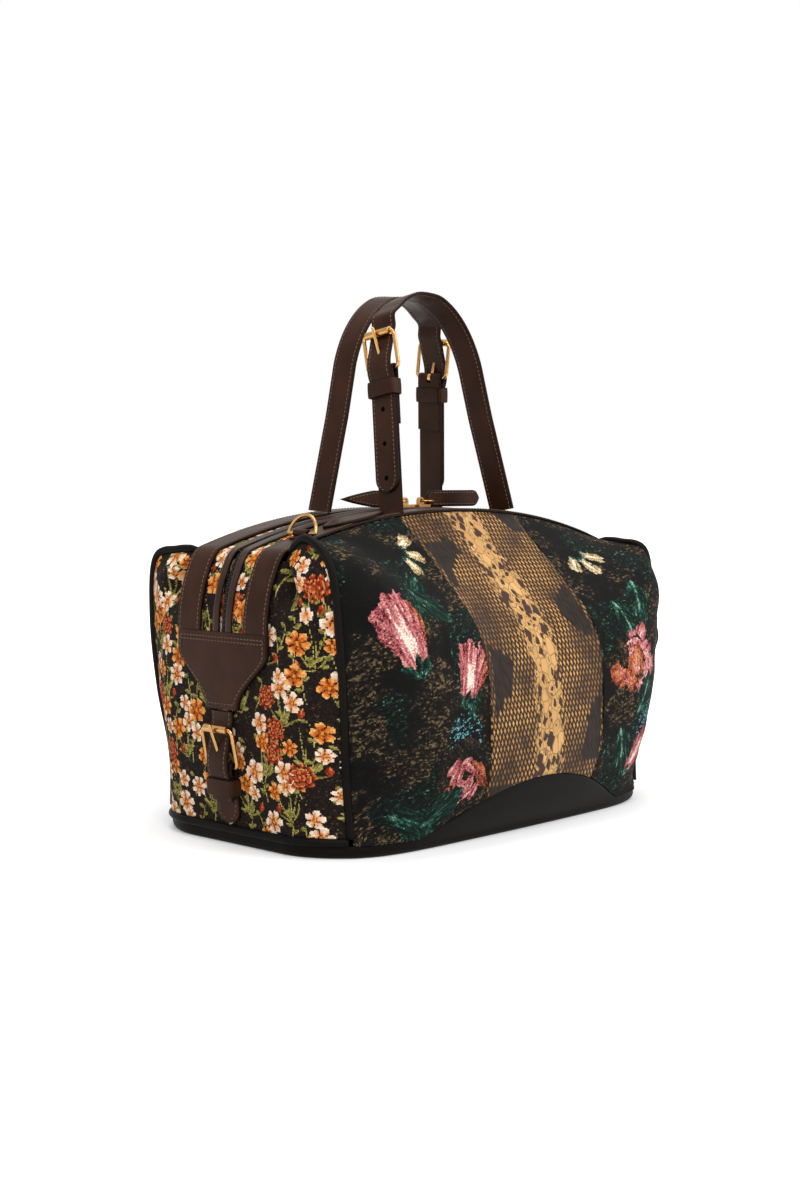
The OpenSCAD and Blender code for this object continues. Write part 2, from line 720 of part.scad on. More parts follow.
// Lens-shaped tab sewn to the band beside the buckled leg
module handle_tab() {
    start = handle_foot + 2 * loop_r;
    half = strap_w / 2;
    r = (lens_l * lens_l / 4 + half * half) / (2 * half);
    line = [for (i = [0 : 16]) let (x = start - 2 + (lens_l + 4) * i / 16) [x, ridge_z(x)]];
    low = band_high + seam_gap;
    color(BROWN) intersection() {
        ribbon(line, low, low + leather_t, strap_w + 2, band_y);
        translate([start + lens_l / 2, band_y, 0]) linear_extrude(2 * body_h) intersection() {
            translate([0, r - half]) circle(r, $fn = 96);
            translate([0, half - r]) circle(r, $fn = 96);
        }
    }
}
module back_handle_strap() {
    handle_strap(back_lean);
}
module back_handle_chape() {
    handle_chape(back_lean);
}
module back_handle_keeper() {
    handle_keeper(back_lean);
}
module back_handle_buckle() {
    handle_buckle(back_lean);
}
module back_handle_roller() {
    handle_roller(back_lean);
}
module back_handle_prong() {
    handle_prong(back_lean);
}
module back_handle_tab() {
    handle_tab();
}
module front_handle_strap() {
    half_turn() handle_strap(front_lean);
}
module front_handle_chape() {
    half_turn() handle_chape(front_lean);
}
module front_handle_keeper() {
    half_turn() handle_keeper(front_lean);
}
module front_handle_buckle() {
    half_turn() handle_buckle(front_lean);
}
module front_handle_roller() {
    half_turn() handle_roller(front_lean);
}
module front_handle_prong() {
    half_turn() handle_prong(front_lean);
}
module front_handle_tab() {
    half_turn() handle_tab();
}

// D-rings: a bar in a small leather loop on the band, and a bow that leans back over the band
// Distance of the D-rings from the end seams
ring_inset = 26;
ring_x = half_l - ring_inset;
ring_wire = 2.4;
ring_lean = 35;
ring_loop_w = 14;
ring_slope = atan2(ridge_z(ring_x + 5) - ridge_z(ring_x - 5), 10);
ring_ply = 1.2;
ring_hole_r = ring_wire / 2 + turn_gap;
ring_lift = band_high + seam_gap + ring_ply + ring_hole_r;
module on_ring() {
    translate([ring_x, band_y, ridge_z(ring_x)]) rotate([0, -ring_slope, 0])
        translate([0, 0, ring_lift]) children();
}
module right_ring() {
    color(GOLD) on_ring() rotate([0, -ring_lean, 0]) {
        rod(-ring_r, ring_r, ring_wire);
        for (y = [-1, 1]) translate([0, y * ring_r, 0]) sphere(d = ring_wire);
        rotate([0, -90, 0]) rotate([0, 0, -90])
            rotate_extrude(angle = 180) translate([ring_r, 0]) circle(d = ring_wire);
    }
}
module left_ring() {
    half_turn() right_ring();
}
module right_ring_loop() {
    out_r = ring_hole_r + ring_ply;
    foot = 7;
    color(BROWN) on_ring() along_y(ring_loop_w, 0) difference() {
        union() {
            circle(out_r);
            translate([-foot, -out_r]) square([2 * foot, ring_ply]);
        }
        circle(ring_hole_r);
    }
}
module left_ring_loop() {
    half_turn() right_ring_loop();
}

// Zip sliders and pulls: the right one is drawn, with its bridge hole along Y
slider_x = 9;
slider_w = 10;
slider_l = 13;
slider_t = 2.5;
slider_low = ridge_z(0) + band_high + seam_gap;
bridge_hole = 3.6;
bridge_wall = 1.2;
bridge_z = slider_low + slider_t + 0.5 * bridge_hole + 0.75 * bridge_wall;
bridge_t = 3;
pull_wire = 1.7;
module right_zip_slider() {
    stem_low = ridge_z(0) + chain_high + seam_gap;
    stem_w = zip_slit - 2;
    bridge_r = bridge_hole / 2 + bridge_wall;
    color(GOLD) difference() {
        union() {
            translate([slider_x - slider_l / 2, -slider_w / 2, slider_low])
                cube([slider_l, slider_w, slider_t]);
            translate([slider_x - slider_l / 2, -stem_w / 2, stem_low])
                cube([slider_l, stem_w, slider_low - stem_low + 1]);
            translate([slider_x, 0, 0]) along_y(bridge_t, 0) {
                translate([0, bridge_z]) circle(bridge_r);
                translate([-bridge_r, slider_low]) square([2 * bridge_r, bridge_z - slider_low]);
            }
        }
        translate([slider_x, 0, bridge_z]) rod(-slider_w, slider_w, bridge_hole);
    }
}
module left_zip_slider() {
    half_turn() right_zip_slider();
}
module right_pull_ring() {
    color(GOLD) translate([slider_x + pull_ring_r, 0, bridge_z])
        rotate_extrude() translate([pull_ring_r, 0]) circle(d = pull_wire);
}
module left_pull_ring() {
    half_turn() right_pull_ring();
}
// Pull tab: a leather plate on edge, punched for the ring; the left one ends in a point
pull_t = 3;
pull_low = 4.6;
pull_eye = 4;
pull_x = slider_x + 2 * pull_ring_r - pull_eye / 2 + pull_wire;
module pull_tab(pointed) {
    top = pull_h - pull_low;
    middle = (top - pull_low) / 2;
    r = pull_h / 2;
    color(BROWN) translate([pull_x, 0, bridge_z]) difference() {
        along_y(pull_t, 0) {
            if (pointed) polygon([
                [-pull_eye, -pull_low], [pull_l - r, -pull_low], [pull_l + r, middle],
                [pull_l - r, top], [-pull_eye, top]]);
            else {
                translate([-pull_eye, -pull_low]) square([pull_l - r + pull_eye, pull_h]);
                translate([pull_l - r, middle]) circle(r);
            }
        }
        rod(-pull_t, pull_t, pull_eye);
    }
}
module right_pull_tab() {
    pull_tab(false);
}
module left_pull_tab() {
    half_turn() pull_tab(true);
}

front_left_panel();
front_centre_panel();
front_right_panel();
back_left_panel();
back_centre_panel();
back_right_panel();
left_end_panel();
right_end_panel();
base_panel();
base_board();
left_piping();
right_piping();
zip_chain();
front_zip_binding();
back_zip_binding();
front_zip_strip();
back_zip_strip();
front_band();
back_band();
left_end_patch();
left_end_strap();
left_end_chape();
left_end_keeper();
left_end_buckle();
left_end_roller();
left_end_prong();
right_end_patch();
right_end_strap();
right_end_chape();
right_end_keeper();
right_end_buckle();
right_end_roller();
right_end_prong();
front_handle_strap();
front_handle_chape();
front_handle_keeper();
front_handle_buckle();
front_handle_roller();
front_handle_prong();
front_handle_tab();
back_handle_strap();
back_handle_chape();
back_handle_keeper();
back_handle_buckle();
back_handle_roller();
back_handle_prong();
back_handle_tab();
left_ring();
left_ring_loop();
right_ring();
right_ring_loop();
left_zip_slider();
left_pull_ring();
left_pull_tab();
right_zip_slider();
right_pull_ring();
right_pull_tab();
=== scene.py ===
# %% [markdown]
# # Soft barrel tote
# The bag is a sewn shell of tapestry, printed leather and plain leather, with brass fittings.
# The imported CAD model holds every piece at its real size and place. Here each soft piece is made
# again with a finer mesh and a woven or grained finish, and the metal pieces keep their CAD shape.

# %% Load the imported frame
import math

import bpy
import numpy as np
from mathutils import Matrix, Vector


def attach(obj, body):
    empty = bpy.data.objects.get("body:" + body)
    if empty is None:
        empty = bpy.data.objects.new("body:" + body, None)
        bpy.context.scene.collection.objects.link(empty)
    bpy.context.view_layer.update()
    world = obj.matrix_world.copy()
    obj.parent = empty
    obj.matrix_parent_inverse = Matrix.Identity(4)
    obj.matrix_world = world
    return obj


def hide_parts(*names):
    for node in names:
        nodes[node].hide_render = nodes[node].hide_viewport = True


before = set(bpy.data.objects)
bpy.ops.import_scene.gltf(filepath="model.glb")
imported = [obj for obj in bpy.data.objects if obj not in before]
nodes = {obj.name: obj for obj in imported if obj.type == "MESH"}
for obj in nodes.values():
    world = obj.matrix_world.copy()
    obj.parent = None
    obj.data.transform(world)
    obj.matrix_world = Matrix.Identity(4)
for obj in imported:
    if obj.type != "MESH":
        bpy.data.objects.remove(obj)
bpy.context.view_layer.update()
print("CAD nodes:", len(nodes))

# %% [markdown]
# ## Camera and studio
# The photograph looks at the bag's left front corner from a little above its middle. The camera
# stands where the bag's own corners say it stood. The floor takes the shadow, and to the camera it
# and the world are plain white, so the light on the bag stays at an ordinary level.

# %% Camera
CAMERA_AT = Vector((-0.9953, -0.9279, 0.2588))
CAMERA_AIM = Vector((-0.0067, 0.0070, 0.1660))
FOCAL_PIXELS = 1739.2
PHOTO_HEIGHT = 1200
SENSOR = 36

scene = bpy.context.scene
scene.view_settings.view_transform = "Standard"
camera = bpy.data.objects.new("camera", bpy.data.cameras.new("camera"))
scene.collection.objects.link(camera)
camera.location = CAMERA_AT
camera.rotation_mode = "QUATERNION"
camera.rotation_quaternion = (CAMERA_AIM - CAMERA_AT).to_track_quat("-Z", "Y")
camera.data.sensor_width = SENSOR
camera.data.lens = FOCAL_PIXELS * SENSOR / PHOTO_HEIGHT
camera.data.clip_end = 50
scene.camera = camera
print("lens", round(camera.data.lens, 2))

# %% [markdown]
# ## Shader maths
# A finish is a formula over the surface. Wrapping a socket in a small class lets the formula be
# written as plain arithmetic, and every operator adds the Math node that does it.


# %% Sockets with arithmetic
class Socket:
    """An output in a node tree. Arithmetic on it adds Math nodes."""

    def __init__(self, finish, output):
        self.finish = finish
        self.output = output

    def maths(self, operation, *others):
        return self.finish.add("ShaderNodeMath", {"operation": operation}, [self, *others])

    def __add__(self, other):
        return self.maths("ADD", other)

    def __sub__(self, other):
        return self.maths("SUBTRACT", other)

    def __rsub__(self, other):
        return self.finish.add("ShaderNodeMath", {"operation": "SUBTRACT"}, [other, self])

    def __mul__(self, other):
        return self.maths("MULTIPLY", other)

    def __truediv__(self, other):
        return self.maths("DIVIDE", other)

    def __pow__(self, other):
        return self.maths("POWER", other)

    __radd__ = __add__
    __rmul__ = __mul__

    def above(self, level, soft=0.0):
        """1 where the value is over level, with a soft edge of that width if one is given."""
        if soft == 0.0:
            return self.maths("GREATER_THAN", level)
        return self.finish.add(
            "ShaderNodeMapRange",
            {"interpolation_type": "SMOOTHSTEP"},
            {0: self, 1: level - soft, 2: level + soft},
        )


# %% Finish under construction
class Finish:
    """A node tree under construction: a new material's, or another one that is given."""

    def __init__(self, name, tree=None):
        if tree is None:
            self.material = bpy.data.materials.new(name)
            self.material.use_nodes = True
            tree = self.material.node_tree
        self.nodes = tree.nodes
        self.links = tree.links

    def feed(self, socket, value):
        if isinstance(value, Socket):
            self.links.new(value.output, socket)
        elif value is not None:
            socket.default_value = value

    def add(self, kind, settings, inputs, output=0):
        """One node: its settings come first, then the values or links of its inputs."""
        node = self.nodes.new(kind)
        for key, value in settings.items():
            setattr(node, key, value)
        pairs = inputs.items() if isinstance(inputs, dict) else enumerate(inputs)
        for key, value in pairs:
            self.feed(node.inputs[key], value)
        return Socket(self, node.outputs[output])

    def place(self):
        return self.add("ShaderNodeTexCoord", {}, {}, "Object")

    def parts(self, vector):
        """First two parts of a vector or colour."""
        node = self.nodes.new("ShaderNodeSeparateXYZ")
        self.feed(node.inputs[0], vector)
        return Socket(self, node.outputs[0]), Socket(self, node.outputs[1])

    def cloth_place(self):
        return self.add("ShaderNodeUVMap", {"uv_map": "cloth"}, {})

    def noise(self, place, scale, detail):
        sizes = {"Vector": place, "Scale": scale, "Detail": detail}
        return self.add("ShaderNodeTexNoise", {}, sizes, "Fac")

    def mix(self, share, a, b):
        colours = {0: share, 6: rgba(a), 7: rgba(b)}
        return self.add("ShaderNodeMix", {"data_type": "RGBA"}, colours, 2)

    def bump(self, height, strength, distance):
        values = {"Height": height, "Strength": strength, "Distance": distance}
        return self.add("ShaderNodeBump", {}, values)

    def done(self, **values):
        shader = self.nodes["Principled BSDF"]
        for key, value in values.items():
            self.feed(shader.inputs[key.replace("_", " ")], rgba(value))
        return self.material


# %% Colours
def rgba(colour):
    """A tuple of three as a colour of four; anything else stays as it is."""
    if isinstance(colour, (tuple, list, np.ndarray)) and len(colour) == 3:
        return (*[float(c) for c in colour], 1.0)
    return colour


def srgb(red, green, blue):
    """Linear colour of a screen colour with parts from 0 to 255."""
    parts = np.array([red, green, blue]) / 255
    return tuple(np.where(parts < 0.04045, parts / 12.92, ((parts + 0.055) / 1.055) ** 2.4))


# %% Floor and world
WHITE = (1.0, 1.0, 1.0)
BLACK = (0.0, 0.0, 0.0)
FLOOR_GREY = (0.86, 0.86, 0.86)
FLOOR_SIZE = 12.0
FLOOR_GLOW = 0.2
SHADOW_REACH = 0.52
SHADOW_FADE = 0.3


def seen_directly(finish):
    """1 for rays from the camera, and for those that metal and glass send on."""
    path = finish.nodes.new("ShaderNodeLightPath")
    camera_ray = Socket(finish, path.outputs["Is Camera Ray"])
    glossy_ray = Socket(finish, path.outputs["Is Glossy Ray"])
    clear_ray = Socket(finish, path.outputs["Is Transmission Ray"])
    return (camera_ray + glossy_ray + clear_ray).maths("MINIMUM", 1.0)


def make_world(light):
    world = bpy.data.worlds.new("studio")
    world.use_nodes = True
    scene.world = world
    finish = Finish("studio", world.node_tree)
    shown = seen_directly(finish)
    background = finish.nodes["Background"]
    background.inputs["Color"].default_value = rgba(WHITE)
    finish.feed(background.inputs["Strength"], shown * (1.0 - light) + light)


def make_floor():
    mesh = bpy.data.meshes.new("floor")
    half = FLOOR_SIZE / 2
    corners = [(-half, -half, 0), (half, -half, 0), (half, half, 0), (-half, half, 0)]
    mesh.from_pydata(corners, [], [(0, 1, 2, 3)])
    floor = bpy.data.objects.new("floor", mesh)
    scene.collection.objects.link(floor)
    finish = Finish("floor")
    place = finish.place()
    far = finish.add("ShaderNodeVectorMath", {"operation": "LENGTH"}, {0: place}, "Value")
    past_shadow = far.above(SHADOW_REACH, SHADOW_FADE)
    shown = seen_directly(finish) * (FLOOR_GLOW + (1 - FLOOR_GLOW) * past_shadow)
    glow = finish.mix(shown, BLACK, WHITE)
    look = finish.done(Base_Color=FLOOR_GREY, Roughness=0.9, Emission_Color=glow, Emission_Strength=1.0)
    mesh.materials.append(look)


# %% Lamps
def lamp(name, place, width, watts):
    light = bpy.data.lights.new(name, "AREA")
    light.shape = "RECTANGLE"
    light.size = width
    light.size_y = width
    light.energy = watts
    lamp_object = bpy.data.objects.new(name, light)
    scene.collection.objects.link(lamp_object)
    lamp_object.location = place
    towards = Vector(LAMP_AIM) - Vector(place)
    lamp_object.rotation_mode = "QUATERNION"
    lamp_object.rotation_quaternion = towards.to_track_quat("-Z", "Y")


WORLD_LIGHT = 0.45
LAMP_AIM = (0.0, 0.0, 0.15)
LAMPS = {
    "key": ((-1.3, -1.2, 1.9), 1.2, 34),
    "front": ((0.9, -1.9, 1.1), 1.4, 26),
    "top": ((0.1, 0.3, 2.2), 1.4, 22),
}
make_world(WORLD_LIGHT)
make_floor()
for name, (place, width, watts) in LAMPS.items():
    lamp(name, place, width, watts)
print("studio ready, lamps:", len(LAMPS))

# %% [markdown]
# ## The bag's own form
# The CAD source shapes the bag with a few smooth curves: a section at the middle, a seam line at
# each corner and a middle line on each end. The same curves, in millimetres, are written again here
# for whole arrays of points, so the cloth can have a cell for every few threads.

# %% Curves of the body
BODY_H = 234.0
HALF_L = 176.0
HALF_D = 101.0
FRONT_BULGE = 36.0
END_BULGE = 18.0
TOE_IN = 13.0
RIDGE_DROP = 26.0
TALL_EAR = 14.0
LOW_EAR = 25.0
CREASE = 11.0
FOLD = 2.5
SEAM_GAP = 0.3
PIPING_D = 5.2
BAND_W = 25.0
BAND_Y = 35.0
PANEL_LIFT = 1.5
RIBBON_HALF = BAND_Y + BAND_W / 2 + SEAM_GAP
PLAN_POWER = 8
RIDGE_POWER = 2.2
CREASE_END = 0.46
PANEL_EDGE = 1.1


# %% Smooth curves
def spline(points, t, lead=0):
    """Smooth curve through the points, from the one numbered lead at t = 0 to the last at t = 1."""
    p = np.asarray(points, float)
    n = len(p) - 1 - lead
    t = np.asarray(t, float)
    i = np.clip(np.floor(t * n), 0, n - 1).astype(int) + lead
    f = (t * n - (i - lead))[..., None]
    a = p[np.maximum(i - 1, 0)]
    b = p[i]
    c = p[i + 1]
    d = p[np.minimum(i + 2, len(p) - 1)]
    curve = 2 * b + (c - a) * f + (2 * a - 5 * b + 4 * c - d) * f**2
    return 0.5 * (curve + (3 * b - 3 * c + d - a) * f**3)


def ridge_z(x):
    return BODY_H - RIDGE_DROP * (np.abs(x) / HALF_L) ** RIDGE_POWER


# %% Middle, seam and end lines
MIDDLE_LINE = [
    (0, RIBBON_HALF, BODY_H + PANEL_LIFT),
    (0, HALF_D - 0.2 * FRONT_BULGE, 0.79 * BODY_H),
    (0, HALF_D + 0.74 * FRONT_BULGE, 0.61 * BODY_H),
    (0, HALF_D + FRONT_BULGE, 0.42 * BODY_H),
    (0, HALF_D + 0.98 * FRONT_BULGE, 0.22 * BODY_H),
    (0, HALF_D + 0.68 * FRONT_BULGE, 0.09 * BODY_H),
    (0, HALF_D + 0.25 * FRONT_BULGE, 0),
]


def seam_line(ear_drop):
    return [
        (HALF_L, RIBBON_HALF, BODY_H - RIDGE_DROP + PANEL_LIFT),
        (HALF_L + 3, 0.68 * HALF_D, BODY_H - ear_drop),
        (HALF_L + 4, 0.92 * HALF_D, 0.86 * BODY_H),
        (HALF_L + 2, 0.98 * HALF_D, 0.665 * BODY_H),
        (HALF_L - 0.25 * TOE_IN, 0.97 * HALF_D, 0.445 * BODY_H),
        (HALF_L - 0.8 * TOE_IN, 0.92 * HALF_D, 0.227 * BODY_H),
        (HALF_L - TOE_IN, 0.95 * HALF_D, 0),
    ]


TALL_SEAM = seam_line(TALL_EAR)
LOW_SEAM = seam_line(LOW_EAR)
END_LINE = [
    (0.86 * HALF_L, ridge_z(0.86 * HALF_L)),
    (HALF_L, BODY_H - RIDGE_DROP),
    (HALF_L + 0.56 * END_BULGE, 0.82 * BODY_H),
    (HALF_L + 0.85 * END_BULGE, 0.745 * BODY_H),
    (HALF_L + 0.96 * END_BULGE, 0.665 * BODY_H),
    (HALF_L + END_BULGE, 0.445 * BODY_H),
    (HALF_L + 0.95 * END_BULGE - 0.1 * TOE_IN, 0.227 * BODY_H),
    (HALF_L + 0.75 * END_BULGE - 0.3 * TOE_IN, 0),
]


# %% Points of the body
def seam(t, side):
    side = np.asarray(side)[..., None]
    return np.where(side > 0, spline(TALL_SEAM, t), spline(LOW_SEAM, t))


def end_mid(t):
    return spline(END_LINE, t, 1)


def back_point(s, t):
    """Point of the back, with s from the left seam (-1) to the right one (1) and t from band to foot."""
    m = spline(MIDDLE_LINE, t)
    c = seam(t, s)
    away = np.abs(s)
    wide = 1 - away**PLAN_POWER
    high = 1 - away**RIDGE_POWER
    swing = np.sin(np.pi * np.clip(t, 0, 1)) ** 1.5 * s * s * (1 - away**6)
    fold = FOLD * swing * np.sin(2 * np.pi * (2.3 * s + 1.2 * t))
    y = c[..., 1] + (m[..., 1] - c[..., 1]) * wide + fold
    z = c[..., 2] + (m[..., 2] - c[..., 2]) * high
    return np.stack([s * c[..., 0], y, z], -1)


def end_point(u, t):
    """Point of the right end, with u from its front seam (-1) to its back seam (1)."""
    c = seam(t, u)
    m = end_mid(t)
    k = np.maximum(0, 2 * np.abs(u) - 1)
    reach = np.maximum(c[..., 1] - PANEL_EDGE, RIBBON_HALF + 1) - RIBBON_HALF
    y = np.where(k > 0, RIBBON_HALF + k * reach, 2 * np.abs(u) * RIBBON_HALF)
    share = np.maximum(0, y - RIBBON_HALF) / np.maximum(c[..., 1] - RIBBON_HALF, 1)
    w = np.minimum(share, 1) ** 2.2
    depth = CREASE * np.sin(np.pi * np.clip(t / CREASE_END, 0, 1)) ** 2
    valley = depth * np.sin(np.pi * np.minimum(1, k / 0.6)) ** 2
    lobe = 0.35 * depth * np.sin(np.pi * np.maximum(0, (k - 0.4) / 0.6)) ** 2
    x = m[..., 0] + (c[..., 0] - m[..., 0]) * w + lobe - valley
    z = m[..., 1] + (c[..., 2] - m[..., 1]) * w
    return np.stack([x, np.sign(u) * y, z], -1)


# %% Heights on the body
def t_at(height, curve, low=0.5, high=1.0):
    """Value of t at which a falling curve reaches a height."""
    height = np.asarray(height, float)
    low = np.full(height.shape, low)
    high = np.full(height.shape, high)
    for _ in range(26):
        middle = (low + high) / 2
        over = curve(middle) > height
        low = np.where(over, middle, low)
        high = np.where(over, high, middle)
    return (low + high) / 2


BASE_RIM = 9.0
BASE_RISE = 34.0
BASE_REACH = 125.0


def base_line(x):
    return BASE_RIM + BASE_RISE * np.maximum(0, 1 - (x / BASE_REACH) ** 2) ** 1.2


def back_t(s, height):
    return t_at(height, lambda t: back_point(s, t)[..., 2])


def end_t(height):
    return t_at(height, lambda t: spline(TALL_SEAM, t)[..., 2])


print("half section:", [round(float(v), 1) for v in back_point(0.0, 0.5)])

# %% [markdown]
# ## Weaving a colour for every cell
# Tapestry is made of coloured threads, so a motif on it has stepped edges and speckled shades. Each
# face of the cloth mesh stands for one cell of the weave. A motif is painted by choosing, for the
# cells that it covers, the nearest thread in a short palette, with a random number per cell that
# makes neighbouring shades mingle. An image could hold this, but a formula stays sharp and small.


# %% Cloth, noise and threads
def palette(*colours):
    return np.array([srgb(*c) for c in colours])


def lattice(i, j, seed):
    """Repeatable random number from 0 to 1 for each whole-number place."""
    mask = np.uint64(0xFFFFFFFF)
    n = (i.astype(np.int64) * 374761393 + j.astype(np.int64) * 668265263 + seed * 974711).astype(np.uint64)
    n = (n & mask) ^ ((n & mask) >> np.uint64(13))
    n = (n * np.uint64(1274126177)) & mask
    return ((n ^ (n >> np.uint64(16))) & np.uint64(0xFFFF)).astype(float) / 65535


def noise(u, v, width, height, seed):
    """Soft random field with cells of that width and height."""
    a = u / width
    b = v / height
    i = np.floor(a)
    j = np.floor(b)
    f = a - i
    g = b - j
    f = f * f * (3 - 2 * f)
    g = g * g * (3 - 2 * g)
    top = lattice(i, j, seed) * (1 - f) + lattice(i + 1, j, seed) * f
    foot = lattice(i, j + 1, seed) * (1 - f) + lattice(i + 1, j + 1, seed) * f
    return top * (1 - g) + foot * g


# %% Cells of a weave
class Cloth:
    """Cells of a weave at places u and v in millimetres, v downwards, and the thread each one shows."""

    def __init__(self, u, v, seed):
        self.u = u
        self.v = v
        self.seed = seed
        self.random = np.random.default_rng(seed)
        self.thread = self.random.random(len(u))
        self.colour = np.zeros((len(u), 3))

    def around(self, centre, reach):
        du = self.u - centre[0]
        dv = self.v - centre[1]
        cells = np.nonzero((np.abs(du) < reach) & (np.abs(dv) < reach))[0]
        return cells, du[cells], dv[cells]

    def lay(self, cells, shade, threads):
        """Weave in the threads of a palette by shade from 0 to 1."""
        last = len(threads) - 1
        pick = np.floor(np.clip(shade, 0, 1) * last + self.thread[cells])
        self.colour[cells] = threads[np.clip(pick, 0, last).astype(int)]


# %% [markdown]
# ### Small flowers for the ends
# The end panels and the strips beside the zip carry clusters of small blossoms on a dark ground:
# pale ones, orange ones and rust blooms, with thin olive stems. A blossom is a wavy circle in polar
# coordinates, a sprig is a bent stem with leaves, and a cluster is a root whose stems end in blossoms.

# %% Threads and simple shapes
DARK_GROUND = palette((18, 13, 11), (27, 20, 16), (38, 28, 22), (82, 62, 44))
PALE_PETALS = palette((178, 92, 42), (222, 148, 98), (238, 192, 156), (244, 214, 188), (248, 234, 216))
ORANGE_PETALS = palette((126, 50, 18), (196, 96, 34), (228, 142, 62), (242, 184, 112))
RUST_PETALS = palette((64, 18, 10), (124, 40, 18), (172, 70, 34), (222, 134, 80))
OLIVE = palette((66, 60, 24), (112, 104, 46), (158, 146, 76), (190, 178, 112))
HEARTS = palette((92, 40, 14), (186, 96, 24), (226, 156, 56))


# %% Blossoms and blooms
def blossom(cloth, centre, radius, petals, threads, turn):
    cells, du, dv = cloth.around(centre, radius * 1.15)
    ragged = 0.22 * (noise(du, dv, 1.6, 1.6, cloth.seed + 1) - 0.5)
    r = np.hypot(du, dv) / radius + ragged
    angle = np.arctan2(dv, du) + turn
    wave = np.abs(np.cos(petals * angle / 2))
    inside = (r < 0.5 + 0.5 * wave**0.5) & ((wave > 0.24) | (r < 0.42))
    shade = 1.15 * (r - 0.18) + 0.3 * (wave - 0.6) + 0.5 * (noise(du, dv, 2.2, 2.2, cloth.seed) - 0.5)
    cloth.lay(cells[inside], shade[inside], threads)
    heart = r < 0.27
    cloth.lay(cells[heart], 1.2 - 4 * r[heart], HEARTS)


def bloom(cloth, centre, radius, threads, turn):
    """Full bloom with rings of petals and dark gaps."""
    cells, du, dv = cloth.around(centre, radius * 1.15)
    ragged = 0.2 * (noise(du, dv, 2.0, 2.0, cloth.seed + 2) - 0.5)
    r = np.hypot(du, dv) / radius + ragged
    angle = np.arctan2(dv, du) + turn
    ring = np.floor(r * 3)
    wave = np.abs(np.cos((2.5 + ring) * angle + 2 * ring))
    inside = (r < 0.75 + 0.25 * wave) & ((wave > 0.2) | (r < 0.3))
    shade = 0.9 * (r * 3 - ring) + 0.3 * wave - 0.1
    cloth.lay(cells[inside], shade[inside], threads)


# %% Leaves and strokes
def leaf(cloth, start, end, width, threads):
    start = np.array(start, float)
    along = np.array(end, float) - start
    length = np.hypot(*along)
    along = along / length
    cells, du, dv = cloth.around(start + along * length / 2, length * 0.6 + width)
    p = (du * along[0] + dv * along[1]) / length + 0.5
    q = (dv * along[0] - du * along[1]) / width
    ragged = 0.5 * (noise(du, dv, 2.0, 2.0, cloth.seed + 6) - 0.5)
    half = np.sin(np.pi * np.clip(p, 0, 1)) ** 0.8 + ragged
    inside = (np.abs(q) < half) & (p > 0) & (p < 1)
    veins = noise(p * length - np.abs(q) * width * 1.2, q * 0, 2.6, 1.0, cloth.seed + 5)
    streak = noise(p * length, q * width, 5.0, 0.9, cloth.seed + 8)
    shade = 0.75 * veins * streak + 0.3 * np.exp(-((q / 0.14) ** 2)) + 0.3 * streak
    cloth.lay(cells[inside], shade[inside], threads)


def bezier(start, bend, end, t):
    """Point at share t of a curve that leaves start towards bend and comes to end from it."""
    return (1 - t) ** 2 * start + 2 * t * (1 - t) * bend + t * t * end


def stroke(cloth, start, bend, end, width, threads, level):
    """Ragged brush stroke on a curve, widest at its middle."""
    start = np.array(start, float)
    bend = np.array(bend, float)
    end = np.array(end, float)
    middle = (start + end) / 2
    reach = max(np.abs(start - middle).max(), np.abs(bend - middle).max()) + width
    cells, du, dv = cloth.around(middle, reach)
    nearest = np.full(len(cells), 1e9)
    share = np.zeros(len(cells))
    for t in np.linspace(0, 1, 32):
        on = bezier(start, bend, end, t) - middle
        gap = np.hypot(du - on[0], dv - on[1])
        closer = gap < nearest
        nearest = np.where(closer, gap, nearest)
        share = np.where(closer, t, share)
    ragged = 0.8 * (noise(du, dv, 1.5, 1.5, cloth.seed + 11) - 0.5)
    half = width / 2 * (0.35 + 0.65 * np.sin(np.pi * share)) * (1 + ragged)
    inside = nearest < half
    streak = noise(share * 40, nearest * 2, 6.0, 1.2, cloth.seed + 12)
    shade = level + 0.7 * (streak - 0.5)
    cloth.lay(cells[inside], shade[inside], threads)


# %% Small-flower cloth
SPRIG_STEP = (19.0, 23.0)
CLUSTER_STEP = (39.5, 36.0)
BLOSSOM_SPOTS = [(0, -3), (-12, 4), (11, 6), (-4, -17), (12, -12)]
BARE_BELOW = 0.14
RUST_ABOVE = 0.89


def cluster(cloth, centre):
    """Stems from one root, small leaves beside them and blossoms at their tips."""
    draw = cloth.random
    centre = np.array(centre)
    root = centre + (draw.uniform(-4, 4), 23.0)
    spots = []
    for spot in BLOSSOM_SPOTS:
        spots.append(centre + np.array(spot) * draw.uniform(0.72, 1.0) + draw.uniform(-2, 2, 2))
    for spot in spots:
        bend = (root + spot) / 2 + (draw.uniform(-5, 5), 3)
        stroke(cloth, root, bend, spot, 1.1, OLIVE, 0.6)
        foot = 0.5 * root + 0.5 * bend
        side = draw.choice([-1, 1])
        leaf(cloth, foot, foot + (side * draw.uniform(4, 8), -draw.uniform(0, 6)), 1.7, OLIVE)
    kinds = [PALE_PETALS, ORANGE_PETALS, PALE_PETALS, PALE_PETALS, ORANGE_PETALS]
    draw.shuffle(kinds)
    for spot, threads in zip(spots, kinds):
        chance = draw.random()
        if chance < BARE_BELOW:
            continue
        if chance > RUST_ABOVE:
            bloom(cloth, spot, draw.uniform(8.0, 10.5), RUST_PETALS, draw.uniform(0, 6))
        else:
            size = draw.uniform(5.4, 9.2)
            petals = int(draw.integers(5, 8))
            blossom(cloth, spot, size, petals, threads, draw.uniform(0, 6))
    bud_at = root + (draw.choice([-1, 1]) * draw.uniform(7, 13), -draw.uniform(0, 8))
    stroke(cloth, root, (root + bud_at) / 2, bud_at, 1.4, OLIVE, 0.5)
    leaf(cloth, bud_at, bud_at + (draw.uniform(-3, 3), -7.0), 2.6, RUST_PETALS)


